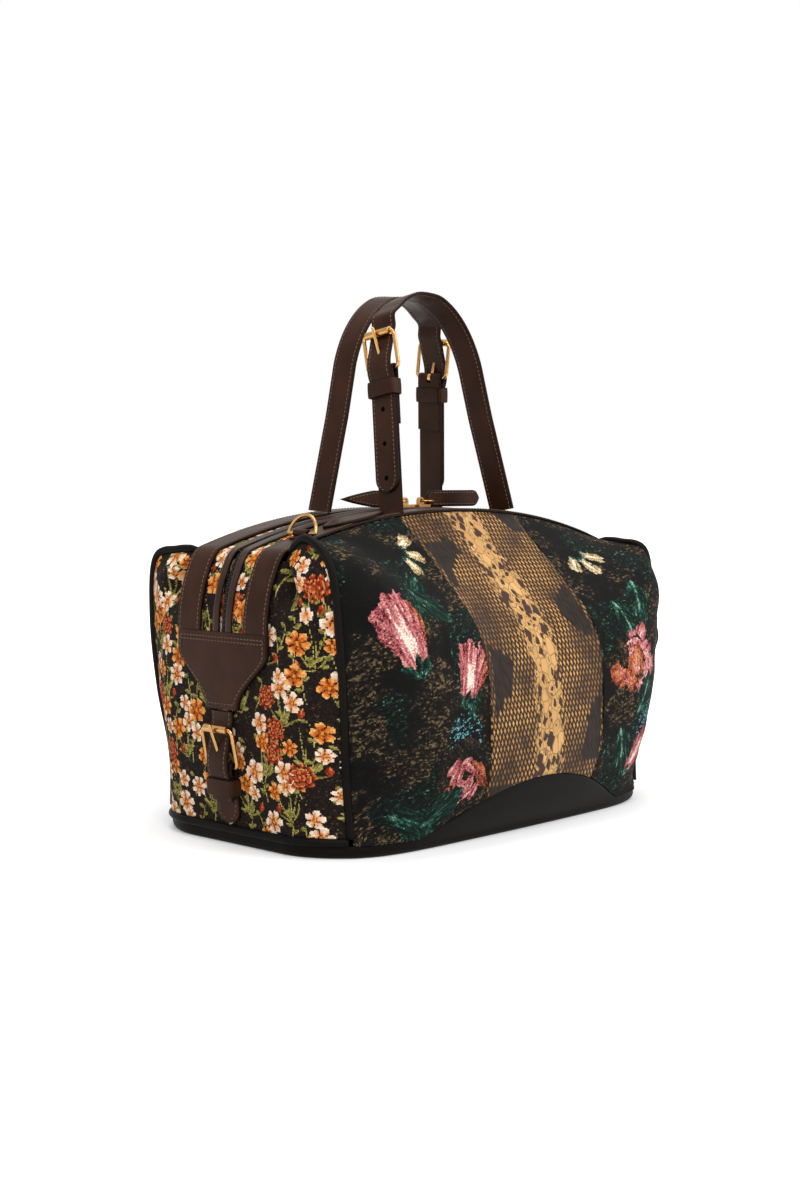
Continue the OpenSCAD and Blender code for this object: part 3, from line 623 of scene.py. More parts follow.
# %% Sprigs and the small-flower weave
def sprig(cloth, foot):
    """Thin upright stem with small leaves by turns on either side."""
    draw = cloth.random
    foot = np.array(foot)
    tip = foot + (draw.uniform(-9, 9), -draw.uniform(18, 28))
    bend = (foot + tip) / 2 + (draw.uniform(-6, 6), 0)
    stroke(cloth, foot, bend, tip, 1.0, OLIVE, 0.7)
    for number, t in enumerate((0.35, 0.6, 0.85)):
        place = bezier(foot, bend, tip, t)
        side = 1 if number % 2 else -1
        leaf(cloth, place, place + (side * draw.uniform(3.5, 6.5), -draw.uniform(1, 4)), 1.5, OLIVE)


def weave_small_flowers(cloth):
    u = cloth.u
    v = cloth.v
    every = np.arange(len(u))
    speckle = noise(u, v, 1.2, 1.0, cloth.seed)
    cloth.lay(every, 0.1 + 0.75 * speckle * (cloth.thread > 0.35), DARK_GROUND)
    for row in np.arange(v.min(), v.max() + 30, SPRIG_STEP[1]):
        for column in np.arange(u.min(), u.max() + 10, SPRIG_STEP[0]):
            sprig(cloth, cloth.random.uniform(-7, 7, 2) + (column, row))
    rows = np.arange(v.min() - 10, v.max() + 30, CLUSTER_STEP[1])
    for number, row in enumerate(rows):
        shift = CLUSTER_STEP[0] / 2 if number % 2 else 0
        for column in np.arange(u.min() - 20 + shift, u.max() + 20, CLUSTER_STEP[0]):
            jitter = cloth.random.uniform(-5, 5, 2)
            cluster(cloth, (column + jitter[0], row + jitter[1]))


print("threads in a pale petal:", len(PALE_PETALS))

# %% [markdown]
# ### Roses for the sides
# The side panels carry large pink buds and roses, small cream buds and deep green leaves. Their black
# ground is shot with short brown and green streaks. Flowers are built from ragged strokes with light
# streaks, as a painted flower looks once it is woven.

# %% Side-panel threads and flowers
STREAK_THREADS = palette((10, 10, 9), (15, 13, 12), (25, 21, 17), (58, 48, 35), (104, 88, 62))
GREEN_THREADS = palette((9, 10, 9), (11, 15, 13), (16, 28, 23), (34, 60, 48), (88, 122, 104))
ROSE_THREADS = palette((64, 24, 26), (138, 64, 68), (186, 104, 106), (212, 150, 142), (240, 222, 208))
COPPER_THREADS = palette((58, 20, 14), (130, 60, 40), (184, 104, 72), (214, 150, 112))
CREAM_THREADS = palette((60, 46, 30), (150, 124, 84), (212, 192, 148), (240, 230, 206))
LEAF_THREADS = palette((8, 11, 10), (12, 24, 20), (22, 52, 42), (54, 100, 84), (136, 172, 154))
BLUE_THREADS = palette((12, 22, 24), (46, 108, 112), (120, 176, 182))


# %% Petals and rims
def petal(cloth, centre, length, width, turn, threads, light=0.0):
    """Ragged petal with streaks along it; light is the height of its bright middle."""
    cells, du, dv = cloth.around(centre, max(length, width) * 1.25)
    p = (du * math.cos(turn) + dv * math.sin(turn)) / length
    q = (dv * math.cos(turn) - du * math.sin(turn)) / width
    ragged = 0.7 * (noise(du, dv, 2.2, 2.2, cloth.seed + 3) - 0.5)
    ragged = ragged + 0.5 * (noise(du, dv, 7.0, 7.0, cloth.seed + 4) - 0.5)
    r = np.abs(p) ** 2.6 + q * q * (1 + 0.3 * p) + ragged * (0.3 + 0.7 * (p > 0))
    inside = r < 1
    streak = noise(p * length, q * width * (1.2 - 0.4 * p), 9.0, 1.5, cloth.seed + 7)
    glow = np.exp(-((p + 0.15) ** 2) / 0.3 - q**2 / 0.2)
    speckle = 0.45 * (lattice(np.floor(du / 0.9), np.floor(dv / 0.9), cloth.seed + 13) - 0.5)
    shade = 0.34 + 0.7 * (streak - 0.42) + light * glow + speckle
    cloth.lay(cells[inside], shade[inside], threads)


def heading(angle):
    """Unit step in a direction."""
    return np.array([math.cos(angle), math.sin(angle)])


def arcs(cloth, centre, radius, turn, threads, count, width):
    """Broken, curled strokes about a centre, the rims of a flower's petals."""
    draw = cloth.random
    squash = np.array([1.0, 0.78])
    for k in range(count):
        a = turn + 2.4 * k + draw.uniform(-0.5, 0.5)
        b = a + draw.uniform(0.5, 1.5)
        size = radius * draw.uniform(0.3, 1.0)
        lean = draw.uniform(0.7, 1.25)
        start = centre + size * squash * heading(a)
        end = centre + size * lean * squash * heading(b)
        middle = (a + b) / 2 + draw.uniform(-0.3, 0.3)
        bend = centre + 1.3 * size * squash * heading(middle)
        stroke(cloth, start, bend, end, width * draw.uniform(0.5, 1.5), threads, draw.uniform(0.3, 0.8))


# %% Roses
def rose(cloth, centre, radius, turn):
    centre = np.array(centre, float)
    draw = cloth.random
    for k in range(12):
        angle = turn + 2.4 * k
        away = radius * (0.64 - 0.05 * k)
        place = centre + away * heading(angle)
        threads = [ROSE_THREADS, COPPER_THREADS, ROSE_THREADS, ROSE_THREADS, STREAK_THREADS][k % 5]
        width = draw.uniform(0.24, 0.4) * radius
        petal(cloth, place, 0.5 * radius, width, angle + draw.uniform(-0.6, 0.6), threads, 0.6)
    arcs(cloth, centre, 0.75 * radius, turn, STREAK_THREADS, 6, 0.1 * radius)
    arcs(cloth, centre, 0.85 * radius, turn + 0.7, ROSE_THREADS, 6, 0.12 * radius)


# %% Dark roses and buds
def scattered(cloth, centre, radius, count, size, threads, light):
    """Ragged petals scattered round a centre, each turned along the rim."""
    draw = cloth.random
    for k in range(count):
        angle = draw.uniform(0, 2 * math.pi)
        away = radius * draw.uniform(0.2, 1.0)
        place = centre + away * np.array([math.cos(angle), 0.8 * math.sin(angle)])
        tilt = angle + 1.4 + draw.uniform(-0.5, 0.5)
        length = size * draw.uniform(0.8, 1.5)
        width = size * draw.uniform(0.25, 0.5)
        petal(cloth, place, length, width, tilt, threads, light)


def dark_rose(cloth, centre, radius, turn):
    centre = np.array(centre, float)
    petal(cloth, centre, 0.95 * radius, 0.9 * radius, turn, STREAK_THREADS)
    scattered(cloth, centre, 0.85 * radius, 7, 0.32 * radius, COPPER_THREADS, 0.1)
    scattered(cloth, centre, 0.7 * radius, 6, 0.22 * radius, STREAK_THREADS, 0.0)
    scattered(cloth, centre, 0.8 * radius, 14, 0.24 * radius, ROSE_THREADS, 0.2)


def bud(cloth, centre, radius, turn, main=ROSE_THREADS, second=COPPER_THREADS):
    """Closed flower seen from the side, with its petals fanned about the direction turn."""
    centre = np.array(centre, float)
    parts = [(-0.42, 0.85, 0.3), (0.5, 0.8, 0.0), (0.24, 0.95, 0.1), (-0.1, 1.0, 0.8)]
    for k, (spread, long_share, light) in enumerate(parts):
        angle = turn + spread
        place = centre + 0.4 * radius * heading(angle)
        threads = second if k == 1 else main
        petal(cloth, place, long_share * radius, 0.36 * radius, angle, threads, light)
    base = centre - 0.72 * radius * heading(turn)
    for spread in (-0.8, 0.1, 0.7):
        tip = base + 0.62 * radius * heading(turn + spread)
        leaf(cloth, base, tip, 0.12 * radius, LEAF_THREADS)


def cream_buds(cloth, centre, radius, turn):
    """Three pale buds that lean apart, dimmed by dark gaps between their petals."""
    for spread in (-0.9, 0.0, 0.9):
        place = centre + 0.55 * radius * heading(turn + spread)
        bud(cloth, place, 0.42 * radius, turn + spread, CREAM_THREADS, STREAK_THREADS)


# %% Side-panel cloth
FLOWERS = {"rose": rose, "dark rose": dark_rose, "cream": cream_buds, "bud": bud}


def weave_roses(cloth, motifs):
    u = cloth.u
    v = cloth.v
    every = np.arange(len(u))
    patch = noise(u, v, 26.0, 20.0, cloth.seed + 1) + 0.5 * noise(u, v, 9.0, 7.0, cloth.seed + 21) - 0.25
    slant = v + 0.22 * u
    streak = noise(u, slant, 3.2, 1.0, cloth.seed + 2)
    fine = noise(u, v, 1.3, 1.0, cloth.seed + 4)
    shade = np.clip(2.4 * (patch - 0.16), 0, 1) * (0.12 + 1.6 * streak * fine)
    cloth.lay(every, shade, STREAK_THREADS)
    green = noise(u, v, 30.0, 26.0, cloth.seed + 9)
    mossy = np.nonzero(green > 0.7)[0]
    cloth.lay(mossy, 1.3 * streak[mossy] * fine[mossy], GREEN_THREADS)
    for kind, place, radius, turn in motifs:
        if kind == "leaf":
            tip = place + 2 * radius * heading(turn)
            leaf(cloth, place, tip, radius * 0.5, LEAF_THREADS)
        elif kind == "specks":
            cells, du, dv = cloth.around(place, radius)
            near = (np.hypot(du, dv) < radius * 0.9) & (fine[cells] * streak[cells] > 0.3)
            cloth.lay(cells[near], cloth.thread[cells[near]], BLUE_THREADS)
        else:
            FLOWERS[kind](cloth, place, radius, turn)


print("threads in a rose petal:", len(ROSE_THREADS))

# %% [markdown]
# ## Making pieces
# Every piece is a mesh in metres that rides on a CAD body and stands for its CAD node. One helper
# does those calls for all of them.

# %% Piece helpers
MM = 0.001


def add_piece(name, points, faces, material, body="bag", stands_for=(), slot=None, smooth=True):
    mesh = bpy.data.meshes.new(name)
    points = np.asarray(points, float) * MM
    mesh.from_pydata(points.tolist(), [], [list(map(int, f)) for f in faces])
    mesh.update()
    mesh.validate()
    mesh.materials.append(material)
    if smooth:
        mesh.shade_smooth()
    piece = bpy.data.objects.new(name, mesh)
    scene.collection.objects.link(piece)
    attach(piece, body)
    if stands_for:
        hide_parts(*stands_for)
    return piece


def as_drawn(points):
    return np.asarray(points, float)


def half_turn(points):
    return np.asarray(points, float) * np.array([-1.0, -1.0, 1.0])


TURNS = {"back": as_drawn, "right": as_drawn, "front": half_turn, "left": half_turn}


# %% Grids and rings of points
def unit(vectors):
    return vectors / np.linalg.norm(vectors, axis=-1, keepdims=True)


def loft_faces(rings, sides, start=0):
    """Faces of a row of closed rings with the same number of points, with a cap on both ends."""
    number = start + np.arange(rings * sides).reshape(rings, sides)
    following = np.roll(number, -1, axis=1)
    quads = np.stack([number[:-1], following[:-1], following[1:], number[1:]], -1).reshape(-1, 4)
    return quads.tolist() + [number[0, ::-1].tolist(), number[-1].tolist()]


def grid_faces(rows, columns):
    """Quads of a grid whose point (row, column) has number row * columns + column."""
    number = np.arange(rows * columns).reshape(rows, columns)
    corners = [number[:-1, :-1], number[1:, :-1], number[1:, 1:], number[:-1, 1:]]
    return np.stack([c.ravel() for c in corners], 1)


def arc_lengths(points, axis):
    steps = np.linalg.norm(np.diff(points, axis=axis), axis=-1)
    start = np.zeros_like(np.take(steps, [0], axis=axis))
    return np.concatenate([start, np.cumsum(steps, axis=axis)], axis=axis)


def grid_normals(points):
    """Outward unit normals of a grid of points, for rows that run down and columns that run right."""
    down = np.gradient(points, axis=0)
    right = np.gradient(points, axis=1)
    return unit(np.cross(down, right))


# %% [markdown]
# ## Tapestry finish
# Woven cloth is rough, with a bump for every thread and a faint sheen. The colour of each cell comes
# from the mesh, and fine noise along the weft varies it from thread to thread.


# %% Tapestry material
def tapestry(name, ribs):
    finish = Finish(name)
    place = finish.cloth_place()
    colour = finish.add("ShaderNodeVertexColor", {"layer_name": "threads"}, {})
    stretch = finish.add(
        "ShaderNodeMapping", {"vector_type": "POINT"}, {"Vector": place, "Scale": (300.0, 1300.0, 1.0)}
    )
    weft = finish.noise(stretch, 1.0, 1.0)
    shaded = finish.add(
        "ShaderNodeMix",
        {"data_type": "RGBA", "blend_type": "MULTIPLY"},
        {0: 1.0, 6: colour, 7: finish.mix(weft.above(0.5, 0.3), (0.72, 0.72, 0.72), (1.15, 1.15, 1.15))},
        2,
    )
    across, down = finish.parts(place)
    height = (across * ribs).maths("SINE") * (down * ribs).maths("SINE") + weft * 0.6
    return finish.done(
        Base_Color=shaded,
        Roughness=0.88,
        Normal=finish.bump(height, 0.5, 0.0004),
        Specular_IOR_Level=0.12,
    )


THREAD_RIBS = 2 * math.pi / 0.0011
rose_cloth = tapestry("rose_tapestry", THREAD_RIBS)
flower_cloth = tapestry("small_flower_tapestry", THREAD_RIBS)
print("tapestries:", rose_cloth.name, flower_cloth.name)

# %% [markdown]
# ## Python print
# The centre panels are printed with snake skin. Small scales lie on a lattice of slim diamonds. Two
# slanted coordinates count the diamonds, their fractions give the distance to a scale's edge and
# their whole parts give each scale a shade of its own. Down the middle runs a pale belly of larger,
# irregular scales, some with a dark spot. Dark saddles at the edges are chosen scale by scale, which
# gives them their stepped outline.

# %% Python material
WARM_SHINE = (1.0, 0.86, 0.78)
SCALE_W = 0.0041
SCALE_L = 0.0086
SCALE_SLANT = 0.2
BELLY_HALF = 0.02
SADDLE_STEP = 0.098


def python_skin():
    finish = Finish("python_print")
    place = finish.cloth_place()
    across, down = finish.parts(place)
    wobble = finish.noise(place, 26.0, 2.0) - 0.5
    sheared = across + wobble * 0.006 - down * SCALE_SLANT
    away = across.maths("ABSOLUTE")

    a = sheared / SCALE_W + down / SCALE_L
    b = sheared / SCALE_W - down / SCALE_L
    a_cell = a.maths("FLOOR")
    b_cell = b.maths("FLOOR")
    a_off = (a - a_cell - 0.5).maths("ABSOLUTE")
    b_off = (b - b_cell - 0.5).maths("ABSOLUTE")
    border = 0.5 - a_off.maths("MAXIMUM", b_off)
    cell = finish.add("ShaderNodeCombineXYZ", {}, [a_cell, b_cell, 0.0])
    chance = finish.add("ShaderNodeTexWhiteNoise", {"noise_dimensions": "3D"}, {"Vector": cell}, "Value")
    cell_y = (a_cell - b_cell) * (SCALE_L / 2)
    cell_x = (a_cell + b_cell + 1.0) * (SCALE_W / 2) + cell_y * SCALE_SLANT
    cell_place = finish.add("ShaderNodeCombineXYZ", {}, [cell_x, cell_y, 0.0])

    grey_zone = (finish.noise(cell_place, 26.0, 2.0) + away * 1.6).above(0.55, 0.14)
    small_light = finish.mix(chance, srgb(172, 125, 70), srgb(200, 151, 90))
    small_grey = finish.mix(chance, srgb(78, 56, 38), srgb(130, 94, 58))
    small = finish.mix(grey_zone, small_light, small_grey)
    ink = finish.mix(grey_zone, srgb(36, 26, 20), srgb(42, 31, 24))
    sides = finish.mix((border - 0.22).above(0.0, 0.07), ink, small)

    squeeze = {"Vector": place, "Scale": (1.1, 0.7, 1.0), "Rotation": (0.0, 0.0, 0.25)}
    belly_place = finish.add("ShaderNodeMapping", {"vector_type": "POINT"}, squeeze)
    belly_cell = {"Vector": belly_place, "Scale": 140.0, "Randomness": 0.8}
    slim = {"feature": "F1", "distance": "MANHATTAN"}
    middle = finish.add("ShaderNodeTexVoronoi", slim, belly_cell, "Distance")
    shade = finish.add("ShaderNodeTexVoronoi", slim, belly_cell, "Color")
    rim = finish.add("ShaderNodeTexVoronoi", {"feature": "DISTANCE_TO_EDGE"}, belly_cell, "Distance")
    red, green = finish.parts(shade)
    belly_tan = finish.mix(green, srgb(184, 140, 86), srgb(205, 163, 106))
    lined = finish.mix(rim.above(0.04, 0.04), srgb(140, 105, 68), belly_tan)
    fray = finish.noise(place, 240.0, 2.0) - 0.5
    spot = (0.6 + 0.3 * green + 0.9 * fray - middle).above(0.0, 0.06) * red.above(0.2)
    belly_skin = finish.mix(spot, lined, srgb(62, 44, 36))
    belly = 1 - (away + wobble * 0.016 + chance * 0.009).above(BELLY_HALF, 0.002)
    scales = finish.mix(belly, sides, belly_skin)

    blotch = finish.noise(cell_place, 24.0, 1.0)
    edge_pull = (cell_x.maths("ABSOLUTE") / 0.065) ** 2
    rhythm = (cell_y * (2 * math.pi / SADDLE_STEP) + cell_x * 30.0).maths("SINE")
    saddle = (blotch * 0.55 + edge_pull * 0.36 + rhythm * 0.22).above(0.6) * (1 - belly)
    selvedge = away.above(0.0622)
    charcoal = finish.mix(chance, srgb(27, 22, 19), srgb(40, 33, 28))
    colour = finish.mix(saddle * (1 - selvedge), scales, charcoal)

    grain = finish.noise(place, 900.0, 2.0)
    relief = belly * rim.maths("MINIMUM", 0.1) * 6.0 + (1 - belly) * border.maths("MINIMUM", 0.2) * 4.0
    return finish.done(
        Base_Color=colour,
        Roughness=0.4 + grain * 0.2,
        Normal=finish.bump(relief, 0.3, 0.0005),
        Specular_IOR_Level=0.11,
        Specular_Tint=rgba(WARM_SHINE),
    )


python_print = python_skin()
print("python print ready")

# %% [markdown]
# ## Side and end panels
# Each panel is a grid on the bag's form, fine enough for one face per cell of the weave. Sewn cloth
# is never quite smooth: small puckers run off the seams, and soft dents lie between them. They are
# added along the normals. The rim turns in by the cloth's thickness, as a sewn edge does.

# %% Panel builder
SKIN = 2.6
CELL = 0.85


def grid_map(points):
    """Flat place of each point of a grid, by lengths along its rows and columns."""
    across = arc_lengths(points, 1)
    across = across - across[:, points.shape[1] // 2][:, None]
    return np.stack([across, arc_lengths(points, 0)], -1)


def add_cloth(name, points, material, slot, weave=None, seed=1, skin=SKIN, flat=None):
    """Panel from a grid of points: outer skin, turned-in rim, weave colours and a flat map."""
    rows, columns = points.shape[:2]
    normals = grid_normals(points)
    flat_points = points.reshape(-1, 3)
    number = np.arange(rows * columns).reshape(rows, columns)
    faces = grid_faces(rows, columns)
    rim = np.concatenate([number[0, :-1], number[:-1, -1], number[-1, :0:-1], number[:0:-1, 0]])
    turned = flat_points[rim] - skin * normals.reshape(-1, 3)[rim]
    start = len(flat_points)
    count = len(rim)
    following = np.roll(np.arange(count), -1)
    walls = np.stack([rim, rim[following], start + following, start + np.arange(count)], 1)
    all_points = np.concatenate([flat_points, turned])
    all_faces = np.concatenate([faces, walls])
    piece = add_piece(name, all_points, all_faces, material, stands_for=[name], slot=slot)
    flat = grid_map(points) if flat is None else flat
    flat = flat.reshape(-1, 2)
    flat = np.concatenate([flat, flat[rim]])
    corner_points = np.array([loop.vertex_index for loop in piece.data.loops])
    layer = piece.data.uv_layers.new(name="cloth")
    layer.data.foreach_set("uv", (flat[corner_points] * MM).astype(np.float32).ravel())
    if weave is not None:
        centres = flat[all_faces].mean(1)
        cloth = Cloth(centres[:, 0], centres[:, 1], seed)
        weave(cloth)
        colours = np.ones((len(all_faces), 4))
        colours[:, :3] = cloth.colour
        attribute = piece.data.color_attributes.new("threads", "FLOAT_COLOR", "CORNER")
        attribute.data.foreach_set("color", np.repeat(colours, 4, axis=0).astype(np.float32).ravel())
    return piece


# %% Side grids
def side_grid(x_from, x_to, seed, cell=CELL):
    """Grid on the back, rows from the band down to the base."""
    columns = int(round(abs(x_to - x_from) / cell)) + 1
    s = np.linspace(x_from, x_to, columns) / HALF_L
    last = back_t(s, base_line(s * HALF_L) + SEAM_GAP)
    fine = np.linspace(0, 1, 400)[:, None] * last[None, :]
    path = back_point(np.broadcast_to(s, fine.shape), fine)
    length = arc_lengths(path, 0)
    rows = int(round(length[-1].mean() / cell)) + 1
    t = np.empty((rows, columns))
    for k in range(columns):
        t[:, k] = np.interp(np.linspace(0, length[-1, k], rows), length[:, k], fine[:, k])
    points = back_point(np.broadcast_to(s, t.shape), t)
    return pucker(points, seed, np.abs(np.broadcast_to(s, t.shape)), t)


def pucker(points, seed, away, t):
    """Small dents, and ripples that run off the end seams."""
    x = points[..., 0].ravel()
    z = points[..., 2].ravel()
    soft = noise(x, z, 38.0, 30.0, seed) + 0.5 * noise(x, z, 17.0, 15.0, seed + 1) - 0.75
    near_seam = np.clip((away.ravel() - 0.86) / 0.14, 0, 1)
    ripple = np.sin(z / 7.0 + 5 * noise(x, z, 60.0, 40.0, seed + 2)) * near_seam * (1 - near_seam) * 4
    inner = np.clip(t.ravel() / 0.12, 0, 1) * np.clip((1 - away.ravel()) / 0.05, 0, 1)
    move = (2.4 * soft * (away.ravel() > 0.36) + 1.5 * ripple) * inner
    return points - grid_normals(points) * move.reshape(points.shape[:2])[..., None]


# %% Grids and flowers of the sides
PYTHON_HALF = 65.0
side_pieces = {
    "right": side_grid(PYTHON_HALF + SEAM_GAP, HALF_L - PANEL_EDGE, 11),
    "left": side_grid(PANEL_EDGE - HALF_L, -PYTHON_HALF - SEAM_GAP, 12),
    "centre": side_grid(-PYTHON_HALF, PYTHON_HALF, 13, 2.0),
}
FRONT_LEFT = [
    ("leaf", (22, 60), 26, 2.2), ("leaf", (-2, 74), 22, 0.7), ("cream", (24, 34), 24, 0.4),
    ("bud", (-18, 122), 30, -1.9), ("leaf", (30, 128), 24, 1.4), ("specks", (28, 186), 20, 0),
    ("dark rose", (27, 214), 27, 0.9), ("leaf", (-34, 238), 25, 0.4), ("leaf", (-8, 252), 24, 5.6),
    ("bud", (34, 150), 24, -1.2),
]
FRONT_RIGHT = [
    ("cream", (-22, 40), 25, 1.3), ("leaf", (6, 78), 24, 1.8), ("leaf", (-28, 96), 22, 1.2),
    ("rose", (-14, 146), 31, 0.3), ("specks", (16, 196), 22, 0), ("bud", (4, 228), 22, -0.9),
    ("leaf", (-30, 196), 24, 1.1), ("leaf", (-10, 190), 20, 5.2),
]
BACK_LEFT = [
    ("rose", (4, 92), 30, 0.8), ("leaf", (-26, 130), 24, 1.2), ("leaf", (24, 128), 24, 2.0),
    ("dark rose", (-14, 196), 27, 0.1), ("cream", (26, 38), 22, 0.6), ("bud", (22, 214), 24, 3.8),
    ("specks", (-20, 150), 18, 0),
]
BACK_RIGHT = [
    ("bud", (-8, 96), 32, 4.9), ("leaf", (18, 132), 25, 1.0), ("leaf", (-30, 146), 24, 0.6),
    ("rose", (12, 196), 29, 1.7), ("cream", (-22, 42), 23, 0.2), ("specks", (-24, 226), 20, 0),
    ("leaf", (-30, 210), 22, 0.2),
]

# %% Side panels
SIDE_LAYOUT = {
    "front_left_panel": ("right", FRONT_LEFT, 21),
    "front_right_panel": ("left", FRONT_RIGHT, 22),
    "back_left_panel": ("left", BACK_LEFT, 23),
    "back_right_panel": ("right", BACK_RIGHT, 24),
}
for name, (side, motifs, seed) in SIDE_LAYOUT.items():
    points = TURNS[name.split("_")[0]](side_pieces[side])
    add_cloth(name, points[:, ::-1], rose_cloth, "rose_tapestry", lambda c: weave_roses(c, motifs), seed)
    print(name, points.shape[:2], "cells")
for side in ("front", "back"):
    name = side + "_centre_panel"
    points = TURNS[side](side_pieces["centre"])
    add_cloth(name, points[:, ::-1], python_print, "python_print")
    print(name, points.shape[:2], "grid")

# %% End panels
BEAD_Z = BASE_RIM + SEAM_GAP + PIPING_D / 2
END_FOOT = BEAD_Z + PIPING_D / 2 + SEAM_GAP
WING_FROM = RIBBON_HALF - 2
DENTS_FROM = 52.0
DENTS_FADE = 12.0


def end_grid(seed):
    flat = np.linspace(-0.5, 0.5, 113)
    wing = np.linspace(0.5, 1.0, 57)[1:]
    u = np.concatenate([-wing[::-1], flat, wing])
    last = float(end_t(END_FOOT))
    fine = np.linspace(0.05, last, 400)
    length = arc_lengths(end_mid(fine), 0)
    rows = int(round(length[-1] / CELL)) + 1
    t = np.interp(np.linspace(0, length[-1], rows), length, fine)
    u_grid, t_grid = np.meshgrid(u, t)
    points = end_point(u_grid, t_grid)
    y = points[..., 1].ravel()
    z = points[..., 2].ravel()
    soft = noise(y, z, 30.0, 26.0, seed) + 0.5 * noise(y, z, 14.0, 13.0, seed + 1) - 0.75
    beside_bands = np.clip((np.abs(y) - DENTS_FROM) / DENTS_FADE, 0, 1)
    wing_share = beside_bands * np.clip((1 - np.abs(u_grid.ravel())) / 0.06, 0, 1)
    move = (2.2 * soft * wing_share).reshape(points.shape[:2])
    return points + grid_normals(points) * move[..., None]


def end_map(points):
    """Flat map whose wings go by height and width, so that flowers keep their shape on the ears."""
    flat = grid_map(points)
    middle = points.shape[1] // 2
    fall = points[-1, middle, 2] + flat[-1, middle, 1]
    wide = np.abs(points[..., 1])
    wing = wide > WING_FROM
    flat[..., 0] = np.where(wing, np.sign(flat[..., 0]) * wide, flat[..., 0])
    flat[..., 1] = np.where(wing, fall - points[..., 2], flat[..., 1])
    return flat


end_points = end_grid(31)
for side, seed in (("right", 41), ("left", 42)):
    name = side + "_end_panel"
    points = TURNS[side](end_points)
    flat = end_map(points)
    add_cloth(name, points, flower_cloth, "small_flower_tapestry", weave_small_flowers, seed, flat=flat)
    print(name, points.shape[:2], "cells")

# %% [markdown]
# ## Leather, brass and zip finishes
# Leather gets its look from three scales at once: broad changes of tone, pores about a millimetre
# apart and a finer grain, all in the object's own coordinates so no seams show. Cut edges are
# painted darker, which the meshes mark with a number called edge.


# %% Leather and metal materials
def leather(name, dark, light, paint, gloss, pore_depth, shine):
    finish = Finish(name)
    place = finish.place()
    tone = finish.noise(place, 38.0, 3.0)
    pore_cells = {"Vector": place, "Scale": 850.0}
    pores = finish.add("ShaderNodeTexVoronoi", {"feature": "F1"}, pore_cells, "Distance")
    grain = finish.noise(place, 1500.0, 2.0)
    edge = finish.add("ShaderNodeAttribute", {"attribute_name": "edge"}, {}, "Fac")
    body = finish.mix(tone.above(0.5, 0.28), srgb(*dark), srgb(*light))
    height = pores * 0.7 + grain * 0.5
    return finish.done(
        Base_Color=finish.mix(edge, body, srgb(*paint)),
        Roughness=gloss + 0.14 * tone + 0.08 * grain,
        Normal=finish.bump(height, pore_depth, 0.0002),
        Specular_IOR_Level=shine,
        Specular_Tint=rgba(WARM_SHINE),
    )


def brass(name):
    finish = Finish(name)
    place = finish.place()
    haze = finish.noise(place, 240.0, 3.0)
    rubbed = finish.noise(place, 60.0, 2.0)
    return finish.done(
        Base_Color=finish.mix(rubbed.above(0.5, 0.3), srgb(172, 128, 74), srgb(200, 156, 100)),
        Metallic=1.0,
        Roughness=0.16 + 0.16 * haze,
    )


def plain(name, dark, light, roughness, scale, shine):
    finish = Finish(name)
    grain = finish.noise(finish.place(), scale, 2.0)
    return finish.done(
        Base_Color=finish.mix(grain, srgb(*dark), srgb(*light)),
        Roughness=roughness + 0.1 * grain,
        Normal=finish.bump(grain, 0.3, 0.0002),
        Specular_IOR_Level=shine,
    )


# %% Finishes of this bag
# Dark and light tone, painted edge, roughness, depth of the pores and shine
LEATHERS = {
    "brown_leather": ((42, 24, 15), (57, 34, 23), (18, 11, 8), 0.28, 0.2, 0.08),
    "binding_leather": ((40, 23, 16), (50, 31, 22), (20, 12, 9), 0.2, 0.12, 0.25),
    "black_leather": ((13, 12, 11), (17, 15, 14), (7, 7, 6), 0.4, 0.1, 0.06),
}
# Dark and light tone, roughness, scale of the grain and shine
PLAIN_FINISHES = {
    "tan_thread": ((78, 60, 47), (110, 88, 70), 0.7, 2500.0, 0.3),
    # The hole finish is painted shade: a near-black colour for the dark inside of each punched hole.
    "painted_hole_shade": ((9, 6, 4), (14, 9, 6), 0.9, 900.0, 0.0),
    "zip_tape": ((20, 17, 15), (32, 27, 24), 0.85, 1800.0, 0.3),
    "zip_teeth": ((34, 27, 22), (56, 44, 34), 0.35, 1200.0, 0.3),
    "board": ((84, 70, 54), (116, 98, 76), 0.8, 300.0, 0.3),
}
leathers = [leather(name, *look) for name, look in LEATHERS.items()]
brown_leather, gloss_leather, black_leather = leathers
gold = brass("gold_metal")
plain_looks = [plain(name, *look) for name, look in PLAIN_FINISHES.items()]
tan_thread, hole_shade_finish, tape_cloth, dark_teeth, board = plain_looks
print("finishes:", len(bpy.data.materials))

# %% [markdown]
# ## Straps
# Bands, bindings, handles, patches and tabs are all strips of leather: a path, a width and a
# thickness. A strip is swept from one cross-section with rounded edges and a slight crown. Its width
# may change along the path, which makes rounded tips, the shield patch and the lens-shaped tabs.

# %% Strap builder
TOP_POINTS = 9
ARC_ANGLES = np.radians([70, 35, 0, -35, -70])


def strap_section(width, thickness, crown):
    """Cross-section as across, height and edge mark, clockwise from the top left."""
    r = min(0.9 * thickness / 2, 0.48 * width)
    half = width / 2 - r
    lift = thickness / 2 - r
    section = [(f * half, thickness / 2 + crown * (1 - f * f), 0.0) for f in np.linspace(-1, 1, TOP_POINTS)]
    for a in ARC_ANGLES:
        section.append((half + r * math.cos(a), np.sign(a) * lift + r * math.sin(a), math.cos(a) ** 0.5))
    section += [(f * half, -thickness / 2, 0.0) for f in np.linspace(1, -1, 5)]
    for a in ARC_ANGLES[::-1]:
        section.append((-half - r * math.cos(a), np.sign(a) * lift + r * math.sin(a), math.cos(a) ** 0.5))
    return np.array(section)


